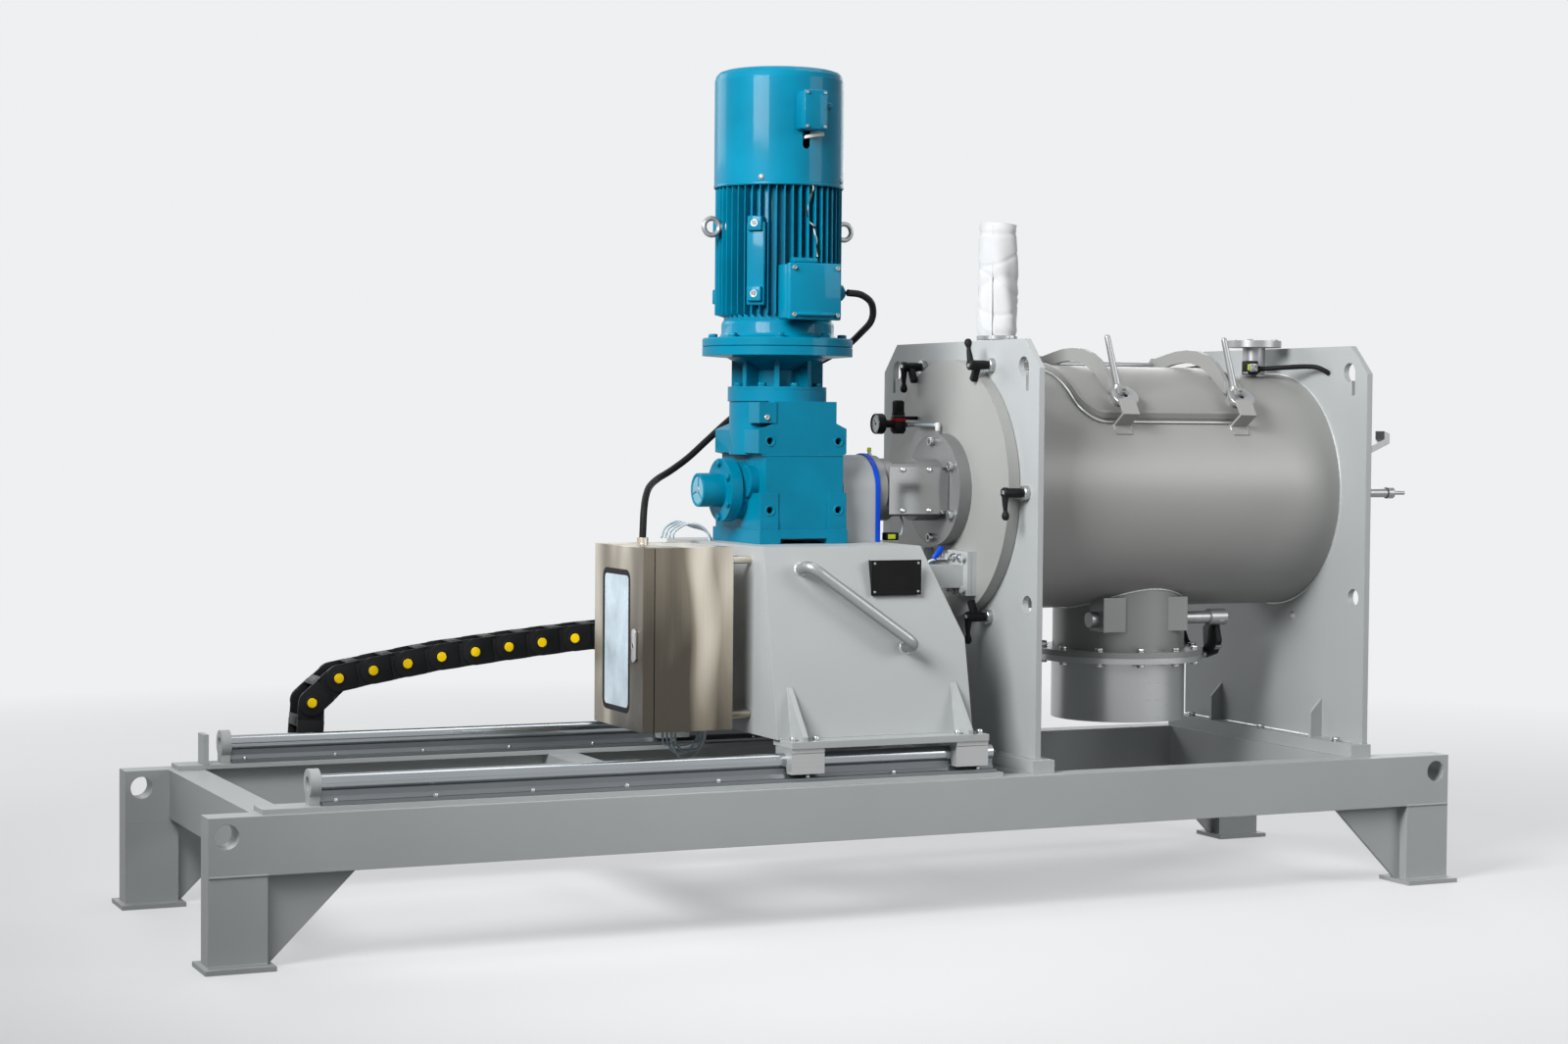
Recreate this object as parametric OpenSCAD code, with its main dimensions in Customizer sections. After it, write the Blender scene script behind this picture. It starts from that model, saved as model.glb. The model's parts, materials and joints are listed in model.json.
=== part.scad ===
// Vacuum plough mixer: a horizontal mixing drum whose end door, bearing, gear motor and
// rotor stand on a carriage that rolls out along two round rails on a welded base frame.
// X runs along the machine, drum at +X. Y points to the back. Z is up, floor at zero.

/* [Base frame] */
// Length of the welded frame
frame_l = 3040; // [3000:10:3300]
// Width over the side beams
frame_w = 875; // [860:5:960]
// Height of the frame's top face
frame_h = 309; // [290:1:360]
// Height of the side beams
beam_h = 120; // [100:5:130]
// Width of the side beams
beam_w = 65; // [55:1:75]
// Length of a leg along the frame
leg_l = 120; // [90:5:150]
// Thickness of the foot plates
foot_t = 10; // [8:1:20]
// Foot plate beyond the leg, along the frame
foot_over_x = 12; // [5:1:25]
// Foot plate beyond the leg, across the frame
foot_over_y = 26; // [10:1:40]
// Radius of the lifting holes
lift_r = 25; // [15:1:30]
// Lifting hole, distance from the frame's end
lift_in = 37; // [35:1:60]
// Lifting hole, distance below the top face
lift_down = 38.5; // [35:0.5:60]
// Length of the leg gussets
gusset_l = 192; // [100:2:260]
// Thickness of the leg gussets
gusset_t = 10; // [6:1:20]
// Width of the cross members
cross_w = 76; // [60:2:100]
// Height of the cross members
cross_h = 110; // [80:2:118]

/* [Rails] */
// Distance of each rail shaft from the centre line
rail_y = 382; // [376:1:390]
// Radius of the rail shafts
shaft_r = 17.5; // [12.5:0.5:20]
// Height of the shaft axis above the rail bar
shaft_up = 44; // [40:1:52]
// Width of the flat rail bars
bar_w = 76; // [70:1:84]
// Thickness of the flat rail bars
bar_t = 10; // [8:1:16]
// Left end of the rail bars
bar_x0 = -1406; // [-1415:1:-1360]
// Right end of the rail bars
bar_x1 = 290; // [280:1:340]
// Left end of the rail shafts
shaft_x0 = -1290; // [-1300:1:-1270]
// Pitch of the screws along the rails
screw_pitch = 212; // [150:1:260]
// Base width of the rail supports
support_w = 62; // [56:1:68]

/* [End plates and drum] */
// Left face of the left end plate
plate_x = 389; // [385:1:400]
// Thickness of the end plates
plate_t = 15; // [12:1:20]
// Width of the end plates
plate_w = 780; // [770:5:850]
// Height of the end plates' top edge
plate_top = 1302; // [1290:1:1340]
// Chamfer of the top corners
plate_chamfer = 68; // [40:1:90]
// Height of the drum's axis
axis_z = 948; // [940:1:960]
// Outer radius of the drum
drum_r = 289; // [285:1:300]
// Wall of the drum
drum_wall = 6; // [4:1:8]
// Inner length of the drum between the end plates
drum_l = 894; // [890:2:940]
// Thickness of each layer of the plates' feet
flange_t = 15; // [10:1:20]
// Radius of the keyhole's round part
key_r = 23; // [16:1:28]
// Radius of the lower holes in the end plates
low_hole_r = 21; // [12:1:28]

/* [Hatch] */
// Left end of the hatch lid
hatch_x = 598; // [590:1:605]
// Length of the hatch lid
hatch_l = 484; // [476:2:490]
// Width of the hatch lid across its chord
hatch_w = 352; // [340:2:356]
// Angle of the lid's middle, from the top towards the front
hatch_a = 18; // [16:1:20]
// Corner radius of the lid
hatch_corner = 60; // [30:2:80]
// Thickness of the lid
lid_t = 5; // [3:1:6]
// Places of the two hinge arms along the machine
arm_x = [700, 1029];
// Thickness of the hinge arms
arm_t = 12; // [8:1:16]
// Radius of the hinge rod
hinge_rod_r = 8; // [6:0.5:10]
// Distance of the hinge rod behind the centre line
hinge_y = 140; // [136:1:150]
// Height of the hinge rod
hinge_z = 1257; // [1252:1:1262]
// Radius of the clamp discs
cam_r = 35; // [33:1:37]
// Length of the clamp levers
lever_l = 124; // [90:2:150]

/* [Top nozzles] */
// Place of the vent neck along the machine
vent_x = 495; // [480:1:510]
// Radius of the vent neck
vent_r = 45; // [35:1:50]
// Radius of the filter sleeve
sleeve_r = 49; // [48:1:55]
// Height of the filter sleeve's top
sleeve_top = 1590; // [1480:5:1700]
// Place of the blank nozzle along the machine
nozzle_x = 1219; // [1200:1:1225]
// Radius of the blank nozzle's flange
nozzle_flange_r = 68; // [55:1:72]

/* [Discharge] */
// Place of the discharge along the machine
outlet_x = 846; // [820:1:870]
// Outer radius of the discharge neck
neck_r = 162; // [150:1:170]
// Wall of the neck and the outlet pipe
neck_wall = 5; // [3:0.5:8]
// Radius of the outlet flanges
outlet_flange_r = 208; // [200:1:220]
// Height of the joint between the two flanges
outlet_split_z = 544; // [535:1:550]
// Thickness of each outlet flange
outlet_flange_t = 14; // [10:1:16]
// Height of the outlet pipe's lower end
outlet_z = 386; // [350:1:420]
// Bolts round the outlet flange
outlet_bolts = 12; // [8:1:16]
// Radius of the flap shaft
flap_shaft_r = 15; // [12:0.5:17]
// Distance of the flap shaft in front of the centre line
flap_y = 118; // [114:1:120]
// Height of the flap shaft
flap_z = 635; // [632:1:640]

/* [Door and rotor] */
// Radius of the round end door
door_r = 310; // [305:1:316]
// Thickness of the end door
door_t = 30; // [22:1:34]
// Radius of the bearing flange on the door
bearing_flange_r = 134; // [120:1:150]
// Thickness of the bearing flange
bearing_flange_t = 33; // [20:1:40]
// Radius of the bearing housing
bearing_r = 74; // [66:1:76]
// Radius of the rotor shaft
rotor_r = 45; // [35:1:50]
// Reach of the ploughs from the axis
plough_reach = 276; // [250:1:279]
// Number of ploughs on the shaft
ploughs_n = 7; // [4:1:8]
// Distance of the door clamps from the axis
clamp_ring_r = 341; // [336:1:346]

/* [Carriage] */
// Left end of the carriage box
box_x0 = -247; // [-255:1:-240]
// Right end of the carriage box
box_x1 = 240; // [230:1:245]
// Right end of the carriage's top
box_top_x1 = 145; // [120:1:160]
// Height of the carriage's top face
box_top = 827; // [820:1:840]
// Height where the sloping end starts
box_slope_z = 617; // [560:1:680]
// Half width of the carriage's top
box_top_y = 280; // [270:1:300]
// Half width of the carriage's foot
box_foot_y = 365; // [350:1:370]
// Wall of the carriage box
box_wall = 8; // [5:1:12]
// Thickness of the carriage's base bars
base_bar_t = 15; // [12:1:20]
// Length of the linear bearing blocks
block_l = 80; // [70:1:95]
// Width of the linear bearing blocks
block_w = 84; // [78:1:90]
// Travel of the carriage along the rails
travel = 1040; // [900:10:1040]

/* [Drive] */
// Place of the motor's axis along the machine
motor_x = -88; // [-95:1:-75]
// Radius of the motor's mounting flange
motor_flange_r = 175; // [165:1:180]
// Height of the joint between motor and adapter
motor_z = 1278; // [1274:1:1290]
// Radius over the cooling fins
fins_r = 147; // [140:1:148]
// Number of cooling fins
fins_n = 48; // [32:4:56]
// Radius of the fan cowl
cowl_r = 150; // [149:1:156]
// Lower edge of the fan cowl
cowl_z = 1645; // [1640:1:1660]
// Height of the fan cowl's top
cowl_top = 1918; // [1880:1:1960]
// Half depth of the gearbox
gear_y = 125; // [115:1:130]

/* [Enclosure] */
// Outer face of the enclosure's door
enclosure_x = -521; // [-530:1:-515]
// Depth of the enclosure with its door
enclosure_d = 215; // [200:1:225]
// Width of the enclosure
enclosure_w = 296; // [280:1:310]
// Front side of the enclosure
enclosure_y = -252; // [-260:1:-245]
// Lower face of the enclosure
enclosure_z = 421; // [415:1:440]
// Height of the enclosure
enclosure_h = 406; // [380:1:410]

/* [Energy chain] */
// Pitch of the chain's links
link_pitch = 85; // [85:1:86]
// Height of the chain's links
link_h = 64; // [50:1:68]
// Width of the chain
chain_w = 84; // [60:1:90]
// Distance of the chain's front side from the centre line
chain_y = 455; // [455:1:480]

/* [Hidden] */
$fn = 48;

// Clearances: running fits, and parts at rest or on another body
run_gap = 0.05;
rest_gap = 0.3;
// Overshoot of a cut beyond the face it opens
cut = 2;

// Colours
grey_paint = "#b4b7b9";
steel = "#9a9d9f";
bright = "#c9cccd";
blue_paint = "#0f7fa8";
black_part = "#1b1c1e";

// Frame
side_y = frame_w / 2;
beam_z0 = frame_h - beam_h;
beam_mid_y = side_y - beam_w / 2;
cross_mid_x = -485;
right_x = plate_x + plate_t + drum_l;

// Rails
bar_top = frame_h + bar_t;
shaft_z = bar_top + shaft_up;
shaft_x1 = bar_x1 - 14;
support_base_t = 8;
screw_dy = support_w / 2 - 9;

// End plates and drum
mouth_r = drum_r - drum_wall;
left_in_x = plate_x + plate_t;
feet_top = frame_h + 2 * flange_t;
foot_flange_w = 57;
rib_y = 220;
rib_t = 10;

// Hatch
frame_rim_r = drum_r + 7.6;
lid_r0 = frame_rim_r + 0.4;
lid_r1 = lid_r0 + lid_t;
rim_w = 14;
cam_a = 45;
cam_r0 = lid_r1 + 20;
cam_t = 11;
cam_off = 9.5;
stud_r = 6;
nut_r = 10.5;
hook_a = 57;
hook_w = 44;

// Discharge
bore_r = neck_r - neck_wall;
block_y0 = -155;
block_x = [710, 892];
block_len = [62, 56];
flap_half = 100;
flap_up = 6;
flap_t = 12;

// Door, from the seal on the end plate to the bearing
seal_t = 1.2;
door_x1 = plate_x - seal_t - rest_gap;
door_x0 = door_x1 - door_t;
flange_x0 = door_x0 - bearing_flange_t;
housing_x0 = 142;
rotor_x0 = -10;
rotor_x1 = right_x - 24;
plough_first = left_in_x + 66;
plough_step = (rotor_x1 - 40 - plough_first) / (ploughs_n - 1);

// Door clamps
clamp_a = [30, 90, 150, 210, 270, 330];
clamp_knob_turn = [-45, 87, 30, -30, -87, -150];
clamp_hub_r = 11;
clamp_x0 = 331;
clamp_reach = 12;
clamp_stud_r = 5;
clamp_base_t = 14;

// Carriage
block_top = shaft_z + 30;
box_z0 = block_top + base_bar_t;
block_x0 = -240;
block_x1 = 248 - block_l;
base_bar_w = 100;
base_bar_y = rail_y - 4;

// Drive
gear_x0 = -190;
gear_x1 = 32;
gear_foot_z = box_top;
gear_split = 1030;
gear_top = 1153;
adapter_r = 115;
neck_z = motor_z + 21;
fins_z0 = neck_z + 42;
fan_z = cowl_top - 59;
fan_shaft_r = 8;
tbox_x = 130;
tbox_z = [1337, 1465];

// Enclosure: pan door in front of a folded box
pan_d = 26;
pan_gap = 2;
sheet_t = 2;
box_face_x = enclosure_x + pan_d + pan_gap;
enclosure_x1 = enclosure_x + enclosure_d;
enclosure_back_y = enclosure_y + enclosure_w;

// Energy chain: direction of each link in the bend and in the upper run, then the pins
bend_turn = [41, 86.5, 135];
upper_turn = [10.7, 9.5, 9.4, 6.5, 6.5, 6, 5.5, 5];
lower_n = 8;
link_plate_t = 4.5;
link_crossbar = 26;
bend_start = [-1005, 496];
function bend_pin(i) = i == 0 ? bend_start
  : bend_pin(i - 1) - link_pitch * [cos(bend_turn[i - 1]), sin(bend_turn[i - 1])];
function upper_pin(i) = i == 0 ? bend_start
  : upper_pin(i - 1) + link_pitch * [cos(upper_turn[i - 1]), sin(upper_turn[i - 1])];
bend_end = bend_pin(3);
lower_z = bend_end[1];
upper_end = upper_pin(8);
chain_mid_y = chain_y + chain_w / 2;
tray_t = 4;

// Rectangle with round corners, centred, made of true arcs
module round_rect(l, w, r) {
  square([l - 2 * r, w], center = true);
  square([l, w - 2 * r], center = true);
  for (sx = [-1, 1], sy = [-1, 1])
    translate([sx * (l / 2 - r), sy * (w / 2 - r)]) circle(r = r);
}

// Cylinder along X from x0 to x1
module rod_x(x0, x1, r) {
  translate([x0, 0, 0]) rotate([0, 90, 0]) cylinder(h = x1 - x0, r = r);
}

// Cylinder along Y from y0 to y1
module rod_y(y0, y1, r) {
  translate([0, y0, 0]) rotate([-90, 0, 0]) cylinder(h = y1 - y0, r = r);
}

// Extrusion along X of a profile drawn in Y and Z
module extrude_x(x0, x1) {
  translate([x0, 0, 0]) rotate([90, 0, 90]) linear_extrude(x1 - x0) children();
}

// Extrusion along Y of a profile drawn in X and Z
module extrude_y(y0, y1) {
  translate([0, y1, 0]) rotate([90, 0, 0]) linear_extrude(y1 - y0) children();
}

// Hexagon head with a short washer below it, standing on z = 0
module hex_head(af, h) {
  cylinder(h = 1.5, r = af * 0.62);
  translate([0, 0, 1.5]) cylinder(h = h, r = af / sqrt(3), $fn = 6);
}

// Both signs of Y
module both_sides() {
  children();
  mirror([0, 1, 0]) children();
}

// Frame of a place on the drum: local Z is radial, local Y runs up the wall
module on_drum(a) {
  translate([0, 0, axis_z]) rotate([a, 0, 0]) children();
}

// Tube of the radius r swept along a list of points, its rings carried along without twist
function unit(v) = v / norm(v);
function way(p, i) = unit(p[min(i + 1, len(p) - 1)] - p[max(i - 1, 0)]);
function across(d) = unit(cross(d, abs(d[2]) < 0.9 ? [0, 0, 1] : [1, 0, 0]));
function carried(p, i, u) = i == len(p) ? []
  : let (d = way(p, i), w = unit(u - (u * d) * d)) concat([w], carried(p, i + 1, w));
module swept_tube(p, r, sides = 8) {
  us = carried(p, 0, across(way(p, 0)));
  rings = [for (i = [0:len(p) - 1]) let (u = us[i], v = cross(way(p, i), u))
    for (k = [0:sides - 1]) p[i] + r * (cos(360 * k / sides) * u + sin(360 * k / sides) * v)];
  walls = [for (i = [0:len(p) - 2], k = [0:sides - 1]) let (n = (k + 1) % sides)
    [i * sides + k, i * sides + n, (i + 1) * sides + n, (i + 1) * sides + k]];
  last = (len(p) - 1) * sides;
  polyhedron(rings, concat(walls, [[for (k = [sides - 1:-1:0]) k]],
    [[for (k = [0:sides - 1]) last + k]]), convexity = 6);
}

// Base frame
module side_beams() color(grey_paint) both_sides() difference() {
  translate([-frame_l / 2, -side_y, beam_z0]) cube([frame_l, beam_w, beam_h]);
  for (s = [-1, 1]) translate([s * (frame_l / 2 - lift_in), 0, frame_h - lift_down])
    rod_y(-side_y - cut, -side_y + beam_w + cut, lift_r);
}

module leg(s) {
  inner = frame_l / 2 - leg_l;
  translate([s > 0 ? inner : -inner - leg_l, -side_y, foot_t])
    cube([leg_l, beam_w, beam_z0 - foot_t]);
  translate([s > 0 ? inner - foot_over_x : -frame_l / 2 - foot_over_x, -side_y - foot_over_y, 0])
    cube([leg_l + 2 * foot_over_x, beam_w + 2 * foot_over_y, foot_t]);
  extrude_y(-beam_mid_y - gusset_t / 2, -beam_mid_y + gusset_t / 2)
    polygon([[s * inner, foot_t], [s * inner, beam_z0], [s * (inner - gusset_l), beam_z0],
      [s * (inner - foot_over_x), foot_t]]);
}

module legs() color(grey_paint) both_sides() for (s = [-1, 1]) leg(s);

module cross_members() color(grey_paint)
  for (x = [bar_x0 + 22, cross_mid_x, plate_x + plate_t, right_x + plate_t / 2 - 24])
    translate([x - cross_w / 2, -side_y + beam_w, frame_h - cross_h])
      cube([cross_w, frame_w - 2 * beam_w, cross_h]);

// Rails: flat bar, extruded support and round shaft on each side
module rail_bars() color(steel) both_sides()
  translate([bar_x0, -rail_y - bar_w / 2, frame_h]) cube([bar_x1 - bar_x0, bar_w, bar_t]);

module rail_supports() color(bright) both_sides() difference() {
  extrude_x(shaft_x0 + 8, shaft_x1) translate([-rail_y, bar_top]) {
    translate([-support_w / 2, 0]) square([support_w, support_base_t]);
    polygon([[-16, support_base_t], [16, support_base_t], [10, 17], [10, shaft_up - 10],
      [-10, shaft_up - 10], [-10, 17]]);
  }
  translate([0, -rail_y, shaft_z]) rod_x(shaft_x0 - cut, shaft_x1 + cut, shaft_r + rest_gap / 2);
}

module rail_shafts() color(bright) both_sides()
  translate([0, -rail_y, shaft_z]) rod_x(shaft_x0, shaft_x1, shaft_r);

// A clamp ring on the left end of each shaft, with a post behind the rear one
module rail_stops() color(steel) {
  both_sides() difference() {
    union() {
      translate([0, -rail_y, shaft_z]) rod_x(shaft_x0 - 15, shaft_x0 + 7, 30);
      translate([shaft_x0 - 15, -rail_y - 17, bar_top]) cube([22, 34, shaft_up]);
    }
    translate([0, -rail_y, shaft_z]) rod_x(shaft_x0, shaft_x0 + 7 + cut, shaft_r);
    translate([0, -rail_y, shaft_z]) rod_x(shaft_x0 - 15 - cut, shaft_x0 + cut, shaft_r - 3);
  }
  translate([-1350, rail_y - 38, bar_top]) cube([12, 54, shaft_up + 25]);
}

module base_fasteners() color(bright) {
  for (a = clamp_a) translate([0, 0, axis_z]) rotate([a, 0, 0]) translate([0, 0, clamp_ring_r]) {
    rod_x(plate_x - clamp_base_t, plate_x, 17);
    rod_x(clamp_x0 + 10, plate_x, clamp_stud_r);
  }
  both_sides() for (x = [shaft_x0 + 38:screw_pitch:shaft_x1], s = [-1, 1])
    translate([x, -rail_y + s * screw_dy, bar_top + support_base_t]) cylinder(h = 3.5, r = 5);
  for (x = [left_in_x + 13, right_x - 26], y = [-320, 0, 320])
    translate([x, y, feet_top]) hex_head(19, 9);
  for (k = [0:outlet_bolts - 1]) translate([outlet_x, 0, outlet_split_z]) rotate([0, 0, 360 * (k + 0.5) / outlet_bolts])
    translate([outlet_flange_r - 17, 0, 0]) {
      translate([0, 0, outlet_flange_t]) hex_head(18, 8);
      mirror([0, 0, 1]) translate([0, 0, outlet_flange_t]) hex_head(18, 8);
    }
}

// End plates with lifting keyholes
module plate_outline() {
  h = plate_top - feet_top;
  w = plate_w / 2;
  translate([0, feet_top]) polygon([[-w, 0], [w, 0], [w, h - plate_chamfer], [w - plate_chamfer, h],
    [-w + plate_chamfer, h], [-w, h - plate_chamfer]]);
}

module plate_holes() for (s = [-1, 1]) {
  translate([s * (plate_w / 2 - 72), plate_top - 64]) circle(r = key_r);
  translate([s * (plate_w / 2 - 72 + key_r - 6) - 6, plate_top - 120]) square([12, 56]);
  translate([s * (plate_w / 2 - 44), 691]) circle(r = low_hole_r);
}

module left_end_plate() color(grey_paint) extrude_x(plate_x, left_in_x) difference() {
  plate_outline();
  plate_holes();
  translate([0, axis_z]) circle(r = mouth_r);
}

module right_end_plate() color(grey_paint) extrude_x(right_x, right_x + plate_t) difference() {
  plate_outline();
  plate_holes();
  translate([-94, 632]) circle(r = 11);
}

module plate_foot(x0, rib_x, turn) {
  for (i = [0, 1]) translate([x0, -plate_w / 2 - 15, frame_h + i * flange_t])
    cube([foot_flange_w, plate_w + 30, flange_t]);
  for (y = [-rib_y, rib_y]) extrude_y(y - rib_t / 2, y + rib_t / 2)
    polygon([[rib_x, feet_top], [rib_x + turn * 32, feet_top], [rib_x + turn * 32, feet_top + 62],
      [rib_x, feet_top + 96]]);
}

module plate_feet() color(steel) {
  plate_foot(plate_x - 14, left_in_x, 1);
  plate_foot(right_x + plate_t - foot_flange_w, right_x, -1);
}

// Drum with its hatch, discharge, vent and nozzle openings
module hatch_prism(grow, z0, z1) {
  on_drum(hatch_a) translate([hatch_x + hatch_l / 2, 0, z0])
    linear_extrude(z1 - z0) round_rect(hatch_l + 2 * grow, hatch_w + 2 * grow, hatch_corner + grow);
}

module drum_shell() color(steel) difference() {
  translate([0, 0, axis_z]) rod_x(left_in_x, right_x, drum_r);
  translate([0, 0, axis_z]) rod_x(left_in_x - cut, right_x + cut, mouth_r);
  hatch_prism(-rim_w - 8, 0, drum_r + 20);
  translate([outlet_x, 0, axis_z - drum_r - 20]) cylinder(h = drum_r, r = bore_r);
  translate([vent_x, 0, axis_z]) cylinder(h = drum_r + 20, r = vent_r - 4);
  translate([nozzle_x, -25, axis_z]) cylinder(h = drum_r + 20, r = 24);
}

module ring_on_drum(r0, r1, x0, x1) {
  difference() {
    translate([0, 0, axis_z]) rod_x(x0, x1, r1);
    translate([0, 0, axis_z]) rod_x(x0 - cut, x1 + cut, r0);
  }
}

// Raised seat round the hatch, and the two hooks that the clamp discs turn under
module hatch_frame() color(steel) {
  intersection() {
    ring_on_drum(drum_r, frame_rim_r, hatch_x, hatch_x + hatch_l);
    difference() {
      hatch_prism(-2, 0, drum_r + 40);
      hatch_prism(-rim_w - 8, 0, drum_r + 60);
    }
  }
  for (x = arm_x) difference() {
    on_drum(hook_a) extrude_x(x - hook_w / 2, x + hook_w / 2) {
      translate([-3, drum_r - 12]) square([6, cam_r0 + cam_t + 8.6 - drum_r + 12]);
      translate([-3, cam_r0 + cam_t + 2.6]) square([44, 6]);
      translate([-26, drum_r - 12]) square([24, 14]);
    }
    translate([0, 0, axis_z]) rod_x(x - hook_w, x + hook_w, drum_r);
  }
}

// Hinge rod in two lugs that stand on the drum, with a collar at each end
module hatch_hinge_rod() color(bright) {
  translate([0, hinge_y, hinge_z]) rod_x(hatch_x + 40, hatch_x + hatch_l - 20, hinge_rod_r);
  for (x = [hatch_x + 46, hatch_x + hatch_l - 38]) difference() {
    extrude_x(x, x + 12) {
      translate([hinge_y, hinge_z]) circle(r = 17);
      polygon([[hinge_y - 17, hinge_z], [hinge_y + 17, hinge_z], [hinge_y + 30, hinge_z - 90],
        [hinge_y - 12, hinge_z - 60]]);
    }
    translate([0, 0, axis_z]) rod_x(x - cut, x + 12 + cut, drum_r);
    translate([0, hinge_y, hinge_z]) rod_x(x - cut, x + 12 + cut, hinge_rod_r);
    hatch_prism(2, 0, drum_r + 60);
  }
}

// Lid: a curved sheet with a raised edge and two arched hinge arms
arm_outer = [[-196, 1182], [-188, 1214], [-168, 1240], [-140, 1262], [-104, 1279], [-62, 1290],
  [-18, 1293], [30, 1291], [76, 1284], [hinge_y - 14, hinge_z + 18], [hinge_y + 4, hinge_z + 19],
  [hinge_y + 19, hinge_z + 6], [hinge_y + 19, hinge_z - 6], [hinge_y + 6, hinge_z - 19]];
arm_inner = [[hinge_y - 14, hinge_z - 18], [80, 1252], [40, 1259], [0, 1262], [-40, 1260],
  [-76, 1252], [-104, 1240], [-126, 1228], [-142, 1212], [-158, 1200]];
module lid_arm(x) {
  difference() {
    extrude_x(x - arm_t / 2, x + arm_t / 2) polygon(concat(arm_outer, arm_inner));
    translate([0, hinge_y, hinge_z]) rod_x(x - arm_t, x + arm_t, hinge_rod_r + run_gap);
  }
  on_drum(cam_a) translate([x, 0, lid_r1 - 3]) {
    cylinder(h = cam_r0 - lid_r1 + 3 - rest_gap, r = 17);
    cylinder(h = cam_r0 + cam_t - lid_r1 + 20, r = stud_r);
    translate([0, 0, cam_r0 + cam_t - lid_r1 + 3 + rest_gap]) cylinder(h = 10, r = nut_r);
  }
}

module hatch_lid() color(steel) {
  difference() {
    intersection() {
      ring_on_drum(lid_r0, lid_r1 + 7, hatch_x - cut, hatch_x + hatch_l + cut);
      hatch_prism(0, 0, drum_r + 60);
    }
    intersection() {
      ring_on_drum(lid_r1, lid_r1 + 30, hatch_x - cut, hatch_x + hatch_l + cut);
      hatch_prism(-6, 0, drum_r + 80);
    }
  }
  for (x = arm_x) lid_arm(x);
}

module hatch_clamp(x) color(bright) on_drum(cam_a) translate([x, 0, cam_r0]) {
  difference() {
    union() {
      translate([cam_off, -cam_off, 0.2]) cylinder(h = cam_t - 0.2, r = cam_r);
      translate([0, 15, 0.2]) cylinder(h = cam_t + 2.8, r = 10);
    }
    translate([0, 0, -cut]) cylinder(h = cam_t + 2 * cut + 4, r = stud_r + run_gap);
    translate([0, 0, cam_t]) cylinder(h = 10, r = nut_r + 0.5);
  }
  translate([0, 17, 9]) rotate([-52, 0, 0]) rotate([0, -10, 0]) difference() {
    union() {
      cylinder(h = lever_l, r1 = 9, r2 = 7);
      translate([0, 0, lever_l]) sphere(r = 7);
    }
  }
}

module hatch_clamp_1() hatch_clamp(arm_x[0]);
module hatch_clamp_2() hatch_clamp(arm_x[1]);

// Vent neck for the filter sleeve, and a nozzle closed by a blank flange
module top_nozzles() color(bright) difference() {
  union() {
    translate([vent_x, 0, axis_z + 200]) cylinder(h = plate_top - axis_z - 200, r = vent_r);
    translate([vent_x, 0, plate_top - 10]) cylinder(h = 10, r = vent_r + 12);
    translate([nozzle_x, -25, axis_z + 200]) cylinder(h = plate_top - axis_z - 199, r = 28);
    translate([nozzle_x, -25, plate_top + 1]) cylinder(h = 9, r = nozzle_flange_r);
    translate([nozzle_x, -25, plate_top + 10]) cylinder(h = 8, r = nozzle_flange_r);
    for (a = [45:90:315]) translate([nozzle_x, -25, plate_top + 18]) rotate([0, 0, a])
      translate([nozzle_flange_r - 16, 0, 0]) cylinder(h = 3, r = 8, $fn = 6);
  }
  translate([vent_x, 0, axis_z]) cylinder(h = plate_top - axis_z + cut, r = vent_r - 4);
  translate([nozzle_x, -25, axis_z]) cylinder(h = plate_top - axis_z, r = 24);
  translate([0, 0, axis_z]) rod_x(left_in_x, right_x, drum_r);
}

module filter_sleeve() color("white")
  translate([vent_x, 0, plate_top + rest_gap]) cylinder(h = sleeve_top - plate_top, r = sleeve_r);

// Hatch switch on a small bracket, with its cable to the right end plate
module safety_switch() color(black_part) difference() {
  union() {
    translate([1152, -96, 1233]) cube([34, 30, 36]);
    translate([1158, -102, 1241]) cube([22, 6, 20]);
    translate([1176, -72, 1238]) cube([34, 32, 20]);
  }
  translate([nozzle_x, -25, axis_z]) cylinder(h = 400, r = 28);
}

// Route of the switch cable: from the switch past the drum's end to the right plate
switch_route = [[1186.3, -84, 1248], [1204, -92, 1249], [1226, -116, 1251], [1246, -150, 1253],
  [1262, -185, 1254], [1276, -212, 1252], [1288, -228, 1244], [1297.5, -236, 1236]];

module switch_cable() color(black_part) swept_tube(switch_route, 6);

// Discharge neck with a block on each side for the flap's shaft
// Outline of the flap, grown by a gap for the opening in its seat
module flap_outline(gap) intersection() {
  circle(r = bore_r - 1.5 + gap);
  translate([-flap_half - gap, -flap_y - 14 - gap]) square([2 * (flap_half + gap), 2 * neck_r]);
}

module discharge_neck() color(steel) {
  difference() {
    union() {
      translate([outlet_x, 0, outlet_split_z]) cylinder(h = axis_z - outlet_split_z, r = neck_r);
      translate([outlet_x, 0, outlet_split_z]) cylinder(h = outlet_flange_t, r = outlet_flange_r);
      for (i = [0, 1]) translate([block_x[i], block_y0, flap_z - 29]) cube([block_len[i], 70, 83]);
    }
    translate([outlet_x, 0, outlet_split_z - cut]) cylinder(h = axis_z, r = bore_r);
    translate([0, 0, axis_z]) rod_x(left_in_x, right_x, drum_r);
    translate([0, -flap_y, flap_z]) rod_x(block_x[0] - cut, block_x[1] + 100, flap_shaft_r + run_gap);
  }
  difference() {
    translate([outlet_x, 0, flap_z + flap_up]) linear_extrude(flap_t) difference() {
      circle(r = bore_r + 1);
      flap_outline(1.5);
    }
    translate([outlet_x - neck_r, -flap_y - flap_shaft_r - 2, flap_z]) cube([2 * neck_r, 2 * flap_shaft_r + 4, 30]);
  }
}

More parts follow.
